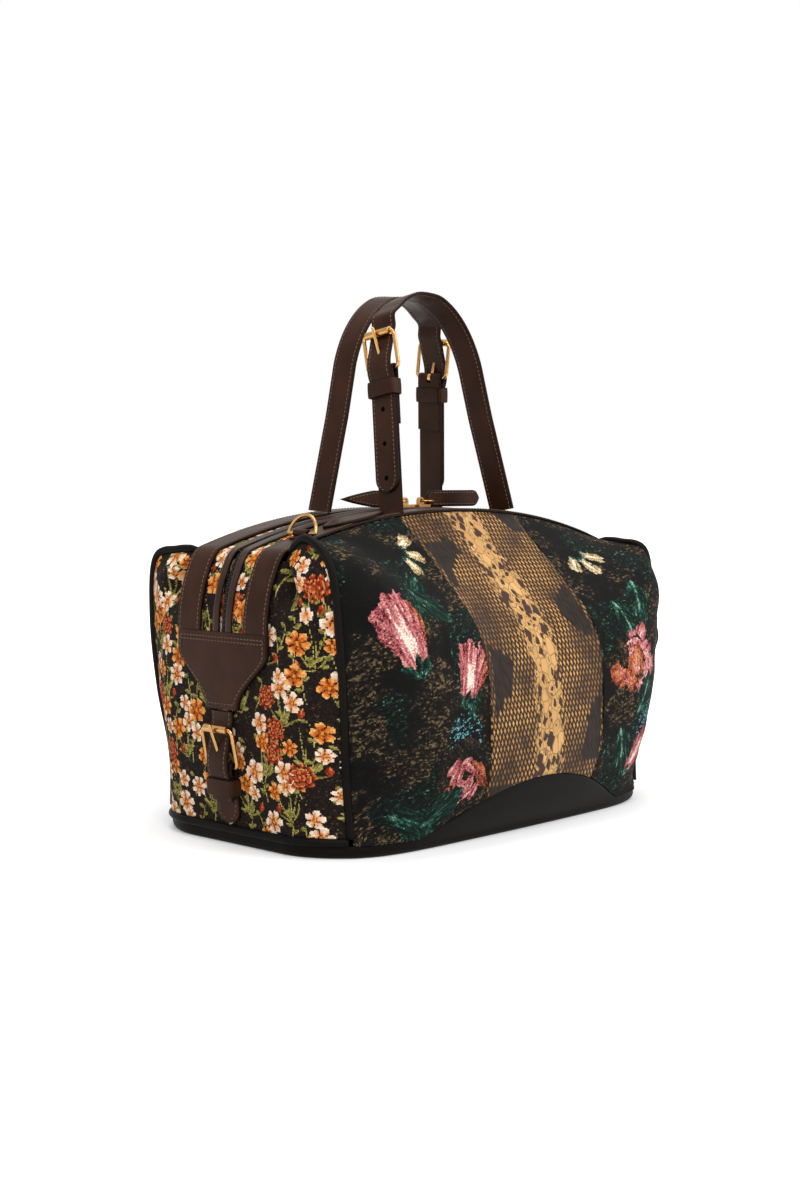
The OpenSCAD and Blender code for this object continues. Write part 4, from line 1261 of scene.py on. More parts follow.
def strap_mesh(centres, outward, across, widths, thickness, crown=0.25):
    """Points, faces and edge marks of one strip."""
    centres = np.asarray(centres, float)
    outward = np.broadcast_to(outward, centres.shape)
    across = np.broadcast_to(across, centres.shape)
    widths = np.broadcast_to(widths, len(centres))
    sections = np.array([strap_section(w, thickness, crown) for w in widths])
    rings = centres[:, None] + sections[..., 0:1] * across[:, None] + sections[..., 1:2] * outward[:, None]
    faces = loft_faces(*rings.shape[:2])
    forward = np.einsum("ij,ij->i", np.cross(across, outward), np.gradient(centres, axis=0)).sum()
    if forward > 0:
        faces = [face[::-1] for face in faces]
    return rings.reshape(-1, 3), faces, sections[..., 2].ravel()


# %% Pieces from strips
def add_straps(name, meshes, material=brown_leather, body="bag", node=None, slot="brown_leather"):
    """One piece from several strips. It stands for the CAD node of its name, or for the one given."""
    points = np.concatenate([mesh[0] for mesh in meshes])
    faces = []
    start = 0
    for mesh_points, mesh_faces, _ in meshes:
        faces += [[start + k for k in face] for face in mesh_faces]
        start += len(mesh_points)
    piece = add_piece(name, points, faces, material, body, [node or name], slot)
    marks = np.concatenate([mesh[2] for mesh in meshes])
    piece.data.attributes.new("edge", "FLOAT", "POINT").data.foreach_set("value", marks)
    piece.data.set_sharp_from_angle(angle=math.radians(60))
    return piece


def strap(name, centres, outward, across, widths, thickness, crown, **calls):
    mesh = strap_mesh(centres, outward, across, widths, thickness, crown)
    return add_straps(name, [mesh], **calls)


# %% [markdown]
# ### Stitches
# Every leather edge is sewn down with short tan stitches. Each stitch is a small tapered bar that
# lies half sunk in the leather, so it catches light from any side. A row is set out by even steps
# along a line on the strap's surface.

# %% Stitch builder
STITCH_PITCH = 3.3
STITCH_L = 2.3
STITCH_R = 0.42
STITCH_ENDS = [(-0.5, 0.5), (-0.3, 1.0), (0.3, 1.0), (0.5, 0.5)]
STITCH_SIDES = 6
LOOK_AHEAD = 0.4
ALONG_Y = np.array([0.0, 1.0, 0.0])

# Height of a row over the middle of the leather's face, more where the leather is crowned
LIFT_UNDER = 0.05
LIFT_STRAP = 0.1
LIFT_HANDLE = 0.12
LIFT_PULL = 0.15
LIFT_TAB = 0.2
LIFT_PATCH = 0.25


def even_steps(line, normals, pitch):
    """Places, directions and normals at even steps along a line of points."""
    length = arc_lengths(line, 0)
    count = max(2, int(length[-1] / pitch))
    at = (np.arange(count) + 0.5) * length[-1] / count

    def sampled(values, lengths):
        return np.stack([np.interp(lengths, length, values[:, k]) for k in range(3)], 1)

    along = unit(sampled(line, at + LOOK_AHEAD) - sampled(line, at - LOOK_AHEAD))
    return sampled(line, at), along, sampled(normals, at)


# %% Rows of stitches
def sew(name, rows, body="bag"):
    """One piece with all the stitches of some rows, each row a line of points and its normals."""
    points = []
    faces = []
    for line, normals in rows:
        line = np.asarray(line, float)
        normals = np.broadcast_to(normals, line.shape)
        for place, along, normal in zip(*even_steps(line, normals, STITCH_PITCH)):
            side = unit(np.cross(along, normal))
            up = np.cross(side, along)
            start = len(points)
            for share, size in STITCH_ENDS:
                for k in range(STITCH_SIDES):
                    a = 2 * math.pi * k / STITCH_SIDES
                    ring = STITCH_R * size * (math.cos(a) * side + math.sin(a) * up)
                    points.append(place + share * STITCH_L * along + ring)
            faces += loft_faces(len(STITCH_ENDS), STITCH_SIDES, start)
    return add_piece(name, points, faces, tan_thread, body, slot="brown_leather")


def edge_rows(line, out, half, turn):
    """Rows of stitches on both sides of a line, each half away from it."""
    step = np.broadcast_to(half, len(line))[:, None] * ALONG_Y
    return [(turn(line + edge * step), turn(out)) for edge in (-1, 1)]


# %% [markdown]
# ## Bands, bindings, strips and zip
# Over the ridge and down both ends run, from the outside in, a leather band, a strip of small
# flowers, a glossy rolled binding and the zip. All follow one line, so they share one path.

# %% The ribbon's path
LEATHER = 2.2
STRIP_LOW = SEAM_GAP
STRIP_T = 1.2
BAND_LOW = STRIP_LOW + STRIP_T + SEAM_GAP
BAND_HIGH = BAND_LOW + LEATHER
PATCH_TOP = 153.0
ZIP_SLIT = 7.0
BINDING_W = 6.5
BAND_STITCH = 3.0


def flat_normals(line):
    """Normals on the left of a path in x and z."""
    d = np.gradient(line, axis=0)
    return unit(np.stack([-d[:, 1], d[:, 0]], 1))


def in_space(flat, y=0.0):
    return np.stack([flat[:, 0], np.full(len(flat), float(y)), flat[:, 1]], 1)


def ribbon_path(end_height, top_steps=110, end_steps=44):
    last = float(t_at(end_height, lambda t: end_mid(t)[..., 1], 0.0, 1.0))
    drop = end_mid(last * np.arange(end_steps, 0, -1) / end_steps)
    x = np.linspace(-HALF_L, HALF_L, top_steps + 1)
    top = np.stack([x, ridge_z(x)], 1)
    line = np.concatenate([drop * [-1, 1], top, drop[::-1]])
    return line, flat_normals(line)


ribbon, ribbon_out = ribbon_path(PATCH_TOP + SEAM_GAP)
ribbon_run = arc_lengths(ribbon, 0)
print("ribbon length", round(float(ribbon_run[-1]), 1), "mm")

# %% Leather bands and zip bindings
BAND_CROWN = 0.25
BINDING_CROWN = 1.1
BINDING_SINK = 0.2
BAND_MID = (BAND_LOW + BAND_HIGH) / 2


def on_ribbon(height, y):
    return in_space(ribbon + height * ribbon_out, y), in_space(ribbon_out)


for side in ("back", "front"):
    turn = TURNS[side]
    across = turn(ALONG_Y)
    centre, out = on_ribbon(BAND_MID, BAND_Y)
    strap(side + "_band", turn(centre), turn(out), across, BAND_W, LEATHER, BAND_CROWN)
    line, out = on_ribbon(BAND_HIGH + LIFT_STRAP, BAND_Y)
    sew(side + "_band_stitches", edge_rows(line, out, BAND_W / 2 - BAND_STITCH, turn))
    centre, out = on_ribbon(BAND_MID - BINDING_SINK, ZIP_SLIT / 2 + BINDING_W / 2)
    strap(
        side + "_zip_binding", turn(centre), turn(out), across, BINDING_W, LEATHER, BINDING_CROWN,
        material=gloss_leather,
    )
print("bands and bindings sewn")

# %% Fabric strips
STRIP_TUCK = 2.0
STRIP_CELL = 1.0
strip_y = np.arange(RIBBON_HALF - STRIP_TUCK, ZIP_SLIT / 2, -STRIP_CELL)
strip_rows = int(ribbon_run[-1] / STRIP_CELL)
strip_at = np.linspace(0, ribbon_run[-1], strip_rows)
strip_line = ribbon + (STRIP_LOW + STRIP_T) * ribbon_out
strip_line = np.stack([np.interp(strip_at, ribbon_run, strip_line[:, k]) for k in range(2)], 1)
strip_grid = np.empty((strip_rows, len(strip_y), 3))
strip_grid[..., 0] = strip_line[:, 0][:, None]
strip_grid[..., 1] = strip_y
strip_grid[..., 2] = strip_line[:, 1][:, None]
for side, seed in (("back", 51), ("front", 52)):
    name = side + "_zip_strip"
    points = TURNS[side](strip_grid)
    add_cloth(name, points, flower_cloth, "small_flower_tapestry", weave_small_flowers, seed, STRIP_T)
print("strips", strip_grid.shape[:2])

# %% Zip tape and teeth
TAPE_W = 5.0
TAPE_T = 0.8
TOOTH_PITCH = 1.9
TOOTH = (1.1, 2.4, 1.0)
TOOTH_SHIFT = 0.75
TOOTH_TAPER = 0.7
TOOTH_SINK = 0.1
TAPE_CALLS = {"material": tape_cloth, "node": "zip_chain", "slot": "zip_tape"}
CUBE = [(0, 1, 3, 2), (4, 6, 7, 5), (0, 4, 5, 1), (2, 3, 7, 6), (0, 2, 6, 4), (1, 5, 7, 3)]
centre, out = on_ribbon(STRIP_LOW + TAPE_T / 2, 0.0)
strap("zip_tape", centre, out, ALONG_Y, TAPE_W, TAPE_T, 0.0, **TAPE_CALLS)
tooth_points = []
tooth_faces = []
line, out = on_ribbon(STRIP_LOW + TAPE_T + TOOTH[2] / 2 - TOOTH_SINK, 0.0)
for k, (place, along, normal) in enumerate(zip(*even_steps(line, out, TOOTH_PITCH))):
    start = len(tooth_points)
    shift = (TOOTH_SHIFT if k % 2 else -TOOTH_SHIFT) * ALONG_Y
    for a in (-0.5, 0.5):
        for b in (-0.5, 0.5):
            for c, narrow in ((-0.5, 1.0), (0.5, TOOTH_TAPER)):
                corner = place + shift + a * narrow * TOOTH[0] * along + b * narrow * TOOTH[1] * ALONG_Y
                tooth_points.append(corner + c * TOOTH[2] * normal)
    tooth_faces += [tuple(start + i for i in face) for face in CUBE]
add_piece("zip_teeth", tooth_points, tooth_faces, dark_teeth, slot="zip_tape", smooth=False)
print("teeth:", len(tooth_faces) // 6)

# %% [markdown]
# ## Piping and base
# A cord covered in black leather hides each end seam and the foot of each end. The base is a tray of
# the same leather, and its wall rises in an arch at front and back. The tray is lofted from loops:
# up the outside, over the rim and down the inside.


# %% Piping
def tube(lines, radius, taper, sides=12):
    """Round cords along some lines of points, thinner over the first taper points."""
    points = []
    faces = []
    for line in lines:
        line = np.asarray(line, float)
        tangent = unit(np.gradient(line, axis=0))
        guide = np.where(np.abs(tangent[:, 0:1]) > 0.8, [0.0, 0.0, 1.0], [1.0, 0.0, 0.0])
        a = unit(np.cross(tangent, guide))
        b = np.cross(tangent, a)
        start = len(points)
        for k in range(len(line)):
            for j in range(sides):
                turn = 2 * math.pi * j / sides
                size = radius * min(1.0, 0.45 + 0.55 * k / taper)
                points.append(line[k] + size * (math.cos(turn) * a[k] + math.sin(turn) * b[k]))
        faces += loft_faces(len(line), sides, start)
    return points, faces


# %% Seam and foot piping
PIPE_FIRST = 0.01
PIPE_TAPER = 9
PIPE_SWELL = 0.5
PIPE_R = PIPING_D / 2 + PIPE_SWELL
BEAD_STEPS = 120
pipe_t = np.linspace(PIPE_FIRST, float(end_t(BASE_RIM + SEAM_GAP + PIPING_D)), 140)
pipe_lines = []
for corner in (1, -1):
    run = seam(pipe_t, np.full(len(pipe_t), corner))
    pipe_lines.append(run * [1, corner, 1])
bead_u = np.linspace(-1, 1, BEAD_STEPS)
pipe_lines.append(end_point(bead_u, np.full(BEAD_STEPS, float(end_t(BEAD_Z)))))
points, faces = tube(pipe_lines, PIPE_R, PIPE_TAPER)
for side in ("right", "left"):
    name = side + "_piping"
    add_piece(name, TURNS[side](points), faces, black_leather, stands_for=[name], slot="black_leather")
print("piping points:", len(points))

# %% Walk round the base
BASE_T = 3.0
EDGE_ROUND = 4.5
LONG_STEPS = 120
SHORT_STEPS = 70
walk_side = np.concatenate([np.full(n, k) for k, n in enumerate([LONG_STEPS, SHORT_STEPS] * 2)])
long_k = 1 - 2 * np.arange(LONG_STEPS) / LONG_STEPS
short_k = -1 + 2 * np.arange(SHORT_STEPS) / SHORT_STEPS
walk_k = np.concatenate([long_k, short_k, long_k, short_k])
on_long = walk_side % 2 == 0
rim_z = np.where(on_long, base_line(walk_k * HALF_L), BASE_RIM)


def tray_points(height):
    """Points of the bag's form at a height for each step of the walk round the tray."""
    long_points = back_point(walk_k, back_t(walk_k, height))
    short_points = end_point(walk_k, end_t(height))
    points = np.where(on_long[:, None], long_points, short_points)
    turned = (walk_side == 0) | (walk_side == 3)
    points[:, :2] *= np.where(turned, -1, 1)[:, None]
    points[:, 2] = height
    return points


def inset(points, d):
    return points * [1 - d / HALF_L, 1 - d / HALF_D, 1]


def tray_loop(share, d, lift=0.0):
    height = np.maximum(0.01, EDGE_ROUND + share * (rim_z - EDGE_ROUND))
    return inset(tray_points(height), d) + [0, 0, lift]


def flat_loop(height, d):
    points = inset(tray_points(np.full(len(walk_k), EDGE_ROUND)), d)
    points[:, 2] = height
    return points


# %% Base tray
# Height and inset of the loops under the tray, then shares of the wall's height
FOOT_LOOPS = [(0, 14), (0, EDGE_ROUND), (0.3, 2.6), (1.35, 1.35), (2.8, 0.4)]
OUTER_SHARES = (0, 0.15, 0.33, 0.5, 0.67, 0.85, 0.97)
INNER_SHARES = (0.95, 0.67, 0.33, 0)
base_loops = [flat_loop(height, d) for height, d in FOOT_LOOPS]
base_loops += [tray_loop(share, 0) for share in OUTER_SHARES]
base_loops += [tray_loop(1, 0.35), tray_loop(1, 1.2, 0.2), tray_loop(1, BASE_T - 0.4)]
base_loops += [tray_loop(share, BASE_T) for share in INNER_SHARES]
base_loops += [flat_loop(BASE_T, BASE_T + EDGE_ROUND)]
base_faces = loft_faces(len(base_loops), len(walk_k))
base_points = np.concatenate(base_loops)
base_calls = {"stands_for": ["base_panel"], "slot": "black_leather"}
add_piece("base_panel", base_points, base_faces, black_leather, **base_calls)
print("base loops:", len(base_loops))

# %% [markdown]
# ## End patches and straps
# On each end the bands meet in a shield-shaped patch. A strap comes from under it, passes through a
# roller buckle and a keeper, and lies on a lower strap with a rounded tip.

# %% Shield patches
PATCH_FOOT = 99.0
PATCH_NECK = 17.0
PATCH_SHOULDER = 15.0
PATCH_STITCH = 3.6
PATCH_CROWN = 0.5
PATCH_MARGIN = 4
PATCH_CROSS_ROWS = (4, 7, -5)


def ease(t):
    k = np.clip(t, 0, 1)
    return k * k * (3 - 2 * k)


patch_z = np.linspace(PATCH_TOP, PATCH_FOOT, 60)
patch_t = t_at(patch_z, lambda t: end_mid(t)[..., 1], 0.0, 1.0)
patch_line = end_mid(patch_t)
patch_out = flat_normals(patch_line[::-1])[::-1] * -1
patch_fall = (PATCH_TOP - PATCH_SHOULDER - patch_z) / (PATCH_TOP - PATCH_SHOULDER - PATCH_FOOT)
patch_share = np.clip(patch_fall, 0, 1)
patch_half = BAND_Y + BAND_W / 2 + (PATCH_NECK - BAND_Y - BAND_W / 2) * ease(patch_share**0.8)
patch_mid = (STRIP_LOW + BAND_HIGH) / 2
patch_thick = BAND_HIGH - STRIP_LOW
sewn = slice(PATCH_MARGIN, -PATCH_MARGIN)
for side in ("right", "left"):
    turn = TURNS[side]
    centre = in_space(patch_line + patch_mid * patch_out)
    out = in_space(patch_out)
    across = turn(ALONG_Y)
    strap(side + "_end_patch", turn(centre), turn(out), across, 2 * patch_half, patch_thick, PATCH_CROWN)
    face = in_space(patch_line + (BAND_HIGH + LIFT_PATCH) * patch_out)
    rows = edge_rows(face[sewn], out[sewn], (patch_half - PATCH_STITCH)[sewn], turn)
    for row in PATCH_CROSS_ROWS:
        span = np.linspace(-1, 1, 40) * (patch_half[row] - PATCH_STITCH)
        rows.append((turn(face[row] + span[:, None] * ALONG_Y), turn(out[row])))
    sew(side + "_patch_stitches", rows)
print("patches:", len(patch_z), "rows")

# %% Buckle geometry that the straps share
WIRE = 3.0
BUCKLE_L = 28.0
ROLLER_D = 6.0
TURN_GAP = 0.3
STRAP_W = 24.0
STRAP_CROWN = 0.3
LIES_FROM = 15
LIES_STEP = 9
PLY = LEATHER - 0.4
PLY_GAP = 0.15
FOLD_R = WIRE / 2 + TURN_GAP
LOOP_R = FOLD_R + PLY
BUCKLE_TILT = math.radians(8)
OVER_BAR = LOOP_R + SEAM_GAP + LEATHER / 2
ON_CHAPE = -FOLD_R + PLY + PLY_GAP + SEAM_GAP + LEATHER / 2
UNDER_ROLLER = BUCKLE_L * math.sin(BUCKLE_TILT) - ROLLER_D / 2 - SEAM_GAP - LEATHER / 2
BACK_FACE = -LOOP_R + LEATHER / 2


# %% Lines along a buckled strap
def billet_line(top, reach):
    """Middle line of a strap under the roller and over the bar, as outward and up."""
    runs = round((reach - LIES_FROM) / LIES_STEP)
    start = [
        (BACK_FACE, top),
        (min(UNDER_ROLLER, BACK_FACE), BUCKLE_L + 5),
        (UNDER_ROLLER, BUCKLE_L - 1),
        (UNDER_ROLLER + 0.45 * (OVER_BAR - UNDER_ROLLER), 0.62 * BUCKLE_L),
        (0.9 * OVER_BAR, 0.3 * BUCKLE_L),
        (OVER_BAR + 0.1, 0.06 * BUCKLE_L),
        (0.9 * OVER_BAR, -3.5),
        (ON_CHAPE + 0.3 * (OVER_BAR - ON_CHAPE), -9),
    ]
    return start + [(ON_CHAPE, -LIES_FROM + (LIES_FROM - reach) * i / runs) for i in range(runs + 1)]


def rotated(flat, angle, centre):
    """From outward and up at a place, on a strap that leans by an angle, to x and z."""
    p = np.asarray(flat, float)
    x = centre[0] + p[:, 0] * math.cos(angle) + p[:, 1] * math.sin(angle)
    z = centre[1] - p[:, 0] * math.sin(angle) + p[:, 1] * math.cos(angle)
    return np.stack([x, z], 1)


def placed(local, place):
    """Points given as outward, across and up, with place to map outward and up to x and z."""
    flat = place(local[:, [0, 2]])
    return np.stack([flat[:, 0], local[:, 1], flat[:, 1]], 1)


def smooth_line(points, per_span=8):
    return spline(points, np.linspace(0, 1, per_span * (len(points) - 1) + 1))


def tip_widths(line, width, length, from_end=True):
    """Width along a strap that ends in a round tip of that length."""
    left = arc_lengths(line, 0)
    left = left[-1] - left if from_end else left
    share = np.clip(1 - left / length, 0, 1)
    return width * np.sqrt(np.maximum(0.02, 1 - share**2))


# %% End straps
END_BAR_Z = 58.0
CHAPE_L = 41.0
END_REACH = 24.0
END_STRAP_W = STRAP_W - 2
LEAN_REACH = 15
TIP_POINTS = 50
TIP_FROM = -22
TIP_MARGIN = 3
bar_low = end_mid(end_t(END_BAR_Z - LEAN_REACH))[0]
bar_high = end_mid(end_t(END_BAR_Z + LEAN_REACH))[0]
end_lean = math.atan2(bar_high - bar_low, 2 * LEAN_REACH)
bar_on_end = end_mid(end_t(END_BAR_Z))
END_BAR_OUT = LOOP_R + SEAM_GAP
LEAN_COS = math.cos(end_lean)
LEAN_SIN = math.sin(end_lean)


def on_end(flat):
    """From outward and up at the end buckle's bar to x and z."""
    return rotated(flat + np.array([END_BAR_OUT, 0.0]), end_lean, bar_on_end)


end_billet = on_end(smooth_line(billet_line((PATCH_FOOT - END_BAR_Z) / LEAN_COS - 1.5, END_REACH)))
billet_out = -flat_normals(end_billet[::-1])[::-1]
end_out = np.array([LEAN_COS, 0, -LEAN_SIN])
tip_q = np.linspace(TIP_FROM, -CHAPE_L + TIP_MARGIN, TIP_POINTS)
tip_face = on_end(np.stack([np.full(TIP_POINTS, -FOLD_R + LIFT_UNDER), tip_q], 1))
tip_bend = (np.linspace(0, 1, TIP_POINTS) - 0.35).clip(0)
tip_half = (STRAP_W / 2 - BAND_STITCH) * np.sqrt(np.clip(1 - tip_bend**2 / 0.45, 0, 1))
for side in ("right", "left"):
    turn = TURNS[side]
    centre = in_space(end_billet)
    out = in_space(billet_out)
    strap(side + "_end_strap", turn(centre), turn(out), turn(ALONG_Y), END_STRAP_W, LEATHER, STRAP_CROWN)
    face = in_space(end_billet + (LEATHER / 2 + LIFT_STRAP) * billet_out)
    rows = edge_rows(face, out, END_STRAP_W / 2 - BAND_STITCH, turn)
    rows += edge_rows(in_space(tip_face), end_out, tip_half, turn)
    sew(side + "_end_strap_stitches", rows)
print("end strap points:", len(end_billet))

# %% [markdown]
# ## Handles
# Each handle is one strap. Its plain end stands on the band, and it arches over, passes through a
# roller buckle and ends in a tip with holes. A folded strap, the chape, holds the buckle's bar.
# Both handles are drawn upright over the back band and then leaned, and the front one is turned.

# %% Handle path
HANDLE_TOP = 404.0
BAR_Z = 343.0
HANDLE_FOOT = 61.0
PLAIN_FOOT = 67.0
ARCH_R = 49.0
ARCH_H = 39.0
PLAIN_R = 50.0
PLAIN_H = 75.0
ARCH_SHIFT = 3.0
TIP_REACH = 0.86
FOOT_Z = float(ridge_z(HANDLE_FOOT)) + BAND_HIGH + SEAM_GAP
ARCH_Z = HANDLE_TOP - ARCH_H
PLAIN_Z = HANDLE_TOP - PLAIN_H
LEG_LEAN = math.atan2(ARCH_R - HANDLE_FOOT, ARCH_Z - FOOT_Z)
BAR_X = HANDLE_FOOT + (ARCH_R - HANDLE_FOOT) * (BAR_Z - FOOT_Z) / (ARCH_Z - FOOT_Z)
LEG_L = (BAR_Z - FOOT_Z) / math.cos(LEG_LEAN)
PEAK = LEATHER / 2


def on_leg(flat):
    """From outward and up at the handle buckle's bar to x and z."""
    return rotated(flat, LEG_LEAN, (BAR_X, BAR_Z))


def ellipse(angles, centre, reach, rise):
    return np.stack([centre[0] + reach * np.cos(angles), centre[1] + rise * np.sin(angles)], 1)


def handle_path():
    share = np.arange(0.0, 0.9, 0.16)
    leg_x = -(PLAIN_FOOT + (PLAIN_R - PLAIN_FOOT) * share)
    leg = np.stack([leg_x, FOOT_Z + (PLAIN_Z - FOOT_Z) * share], 1)
    plain_turn = np.radians(np.arange(174, 94, -12))
    plain_arch = ellipse(plain_turn, (ARCH_SHIFT, PLAIN_Z), PLAIN_R + ARCH_SHIFT, PLAIN_H - PEAK)
    arch_turn = np.radians(np.arange(82, 42, -13))
    arch = ellipse(arch_turn, (ARCH_SHIFT, ARCH_Z), ARCH_R - ARCH_SHIFT, ARCH_H - PEAK)
    billet = on_leg(billet_line(BUCKLE_L + 14, TIP_REACH * LEG_L))
    return smooth_line(np.concatenate([leg, plain_arch, arch, billet]))


# %% Leaning the handles
def leaned(points, lean, direction=False):
    """Upright points over the band, leaned towards the bag's middle; a direction is only turned."""
    points = np.asarray(points, float)
    y = points[..., 1]
    z = points[..., 2] - (0 if direction else FOOT_Z)
    turned_y = y * math.cos(lean) - z * math.sin(lean) + (0 if direction else BAND_Y)
    turned_z = y * math.sin(lean) + z * math.cos(lean) + (0 if direction else FOOT_Z)
    return np.stack([points[..., 0], turned_y, turned_z], -1)


handle_line = handle_path()
handle_out = flat_normals(handle_line)
print("handle length", round(float(arc_lengths(handle_line, 0)[-1]), 1), "mm")

# %% [markdown]
# ### Folded straps and keepers
# A folded strap, the chape, holds each buckle by its bar. A slot in the fold lets the prong swing, so
# the fold is made as two narrow loops between an inner and an outer ply. A keeper is a loop of thinner
# leather that traps the strap's tip. Both could be bent with modifiers, but a path made of a few arcs
# keeps their exact clearances.

# %% Folded straps that hold the buckles
PRONG_GAP = 3.6
FOLD_MID = (FOLD_R + LOOP_R) / 2
OUTER_FACE = -FOLD_R + PLY + PLY_GAP
MEET = -12.0
PLY_POINTS = 40
PLY_CROWN = 0.1


def chape_meshes(inner, outer, place, across, inner_tip=0.0):
    """Inner ply, outer ply and two loops round the bar with a gap for the prong."""
    inner_q = np.linspace(-inner, -LOOP_R - TURN_GAP, PLY_POINTS)
    inner_line = np.stack([np.full(PLY_POINTS, -FOLD_MID), inner_q], 1)
    widths = np.full(PLY_POINTS, STRAP_W)
    if inner_tip:
        widths = tip_widths(in_space(inner_line), STRAP_W, inner_tip, from_end=False)
    a = np.radians(np.linspace(180, 0, 25))
    bend = FOLD_MID * np.stack([np.cos(a), np.sin(a)], 1)
    start = np.array([[-FOLD_MID, -LOOP_R - 2]])
    finish = np.array([[FOLD_MID - 0.2, -LOOP_R - 2]])
    fold = np.concatenate([start, bend, finish])
    outer_q = np.linspace(-LOOP_R - TURN_GAP, -outer, PLY_POINTS)
    flat_p = OUTER_FACE - PLY / 2
    outer_p = np.interp(-outer_q, [LOOP_R, -MEET, outer + 1], [FOLD_MID - 0.1, flat_p, flat_p])
    outer_line = np.stack([outer_p, outer_q], 1)
    parts = []
    loop_w = (STRAP_W - PRONG_GAP) / 2
    for line, width, y in [
        (inner_line, widths, 0.0),
        (fold, loop_w, (STRAP_W - loop_w) / 2),
        (fold, loop_w, (loop_w - STRAP_W) / 2),
        (outer_line, STRAP_W, 0.0),
    ]:
        centres, out = place(line, y)
        parts.append(strap_mesh(centres, out, across, width, PLY, PLY_CROWN))
    return parts


# %% Keepers
KEEPER_TOP = -8.0
KEEPER_H = 12.0
KEEPER_T = 1.4
KEEPER_BEND = 2.2
KEEPER_CROWN = 0.2


def keeper_mesh(low, closed, place, along):
    """Loop of leather round the straps, open behind or closed."""
    wall = KEEPER_T / 2
    inside = ON_CHAPE + 0.45 * (OVER_BAR - ON_CHAPE) + LEATHER / 2 + SEAM_GAP + wall
    room = STRAP_W / 2 + SEAM_GAP + wall
    quarter = np.radians(np.linspace(0, 90, 7))

    def corner(p, side, turn):
        centre = (p, side * (room - KEEPER_BEND))
        return ellipse(quarter + math.radians(turn), centre, KEEPER_BEND, KEEPER_BEND)

    front = [corner(inside - KEEPER_BEND, -1, -90), corner(inside - KEEPER_BEND, 1, 0)]
    path = np.concatenate([[[low, -room]], *front, [[low, room]]])
    if closed:
        back = low + wall
        rear = [corner(back + KEEPER_BEND, 1, 90), corner(back + KEEPER_BEND, -1, 180)]
        middle = np.array([[back, 0.0]])
        path = np.concatenate([rear[1][3:], *front, *rear, middle, rear[1][:4]])
    d = np.gradient(path, axis=0)
    normal = unit(np.stack([d[:, 1], -d[:, 0]], 1))
    level = np.full((len(path), 1), KEEPER_TOP - KEEPER_H / 2)
    centres = place(np.concatenate([path, level], 1))
    ends = place(np.concatenate([path + normal, level], 1))
    return strap_mesh(centres, ends - centres, along, KEEPER_H, KEEPER_T, KEEPER_CROWN)


# %% Folded straps and keepers of the ends
CHAPE_TIP = 9.0
END_PLY = 18.0


def end_ply(line, y):
    flat = on_end(line)
    return in_space(flat, y), in_space(flat_normals(flat))


def end_spot(local):
    return placed(local, on_end)


end_up = np.array([LEAN_SIN, 0.0, LEAN_COS])
chape_parts = chape_meshes(CHAPE_L, END_PLY, end_ply, ALONG_Y, CHAPE_TIP)
keeper_parts = [keeper_mesh(-LOOP_R, False, end_spot, end_up)]
for side in ("right", "left"):
    for kind, parts in (("chape", chape_parts), ("keeper", keeper_parts)):
        turned = [(TURNS[side](points), faces, marks) for points, faces, marks in parts]
        add_straps(side + "_end_" + kind, turned)
print("end chapes and keepers made")

# %% Leans of the handles and their holes
FRONT_LEAN = math.radians(9)
BACK_LEAN = math.radians(4.5)
HANDLE_PLY = 42.0
FOOT_OVERRUN = 6
FOOT_SINK = 0.3
# The holes are flat discs of painted shade, near-black and lifted just over the strap's face.
HOLE_FROM = -4
HOLE_PITCH = 26.0
HOLE_LIFT = 0.34
HOLE_R = 1.9
HOLE_SIDES = 20
TIP_LENGTH = 11.0


def disc(centre, normal, radius):
    normal = unit(normal)
    a = unit(np.cross(normal, [0.0, 0.0, 1.0]))
    b = np.cross(normal, a)
    turn = 2 * np.pi * np.arange(HOLE_SIDES) / HOLE_SIDES
    return centre + radius * (np.cos(turn)[:, None] * a + np.sin(turn)[:, None] * b)


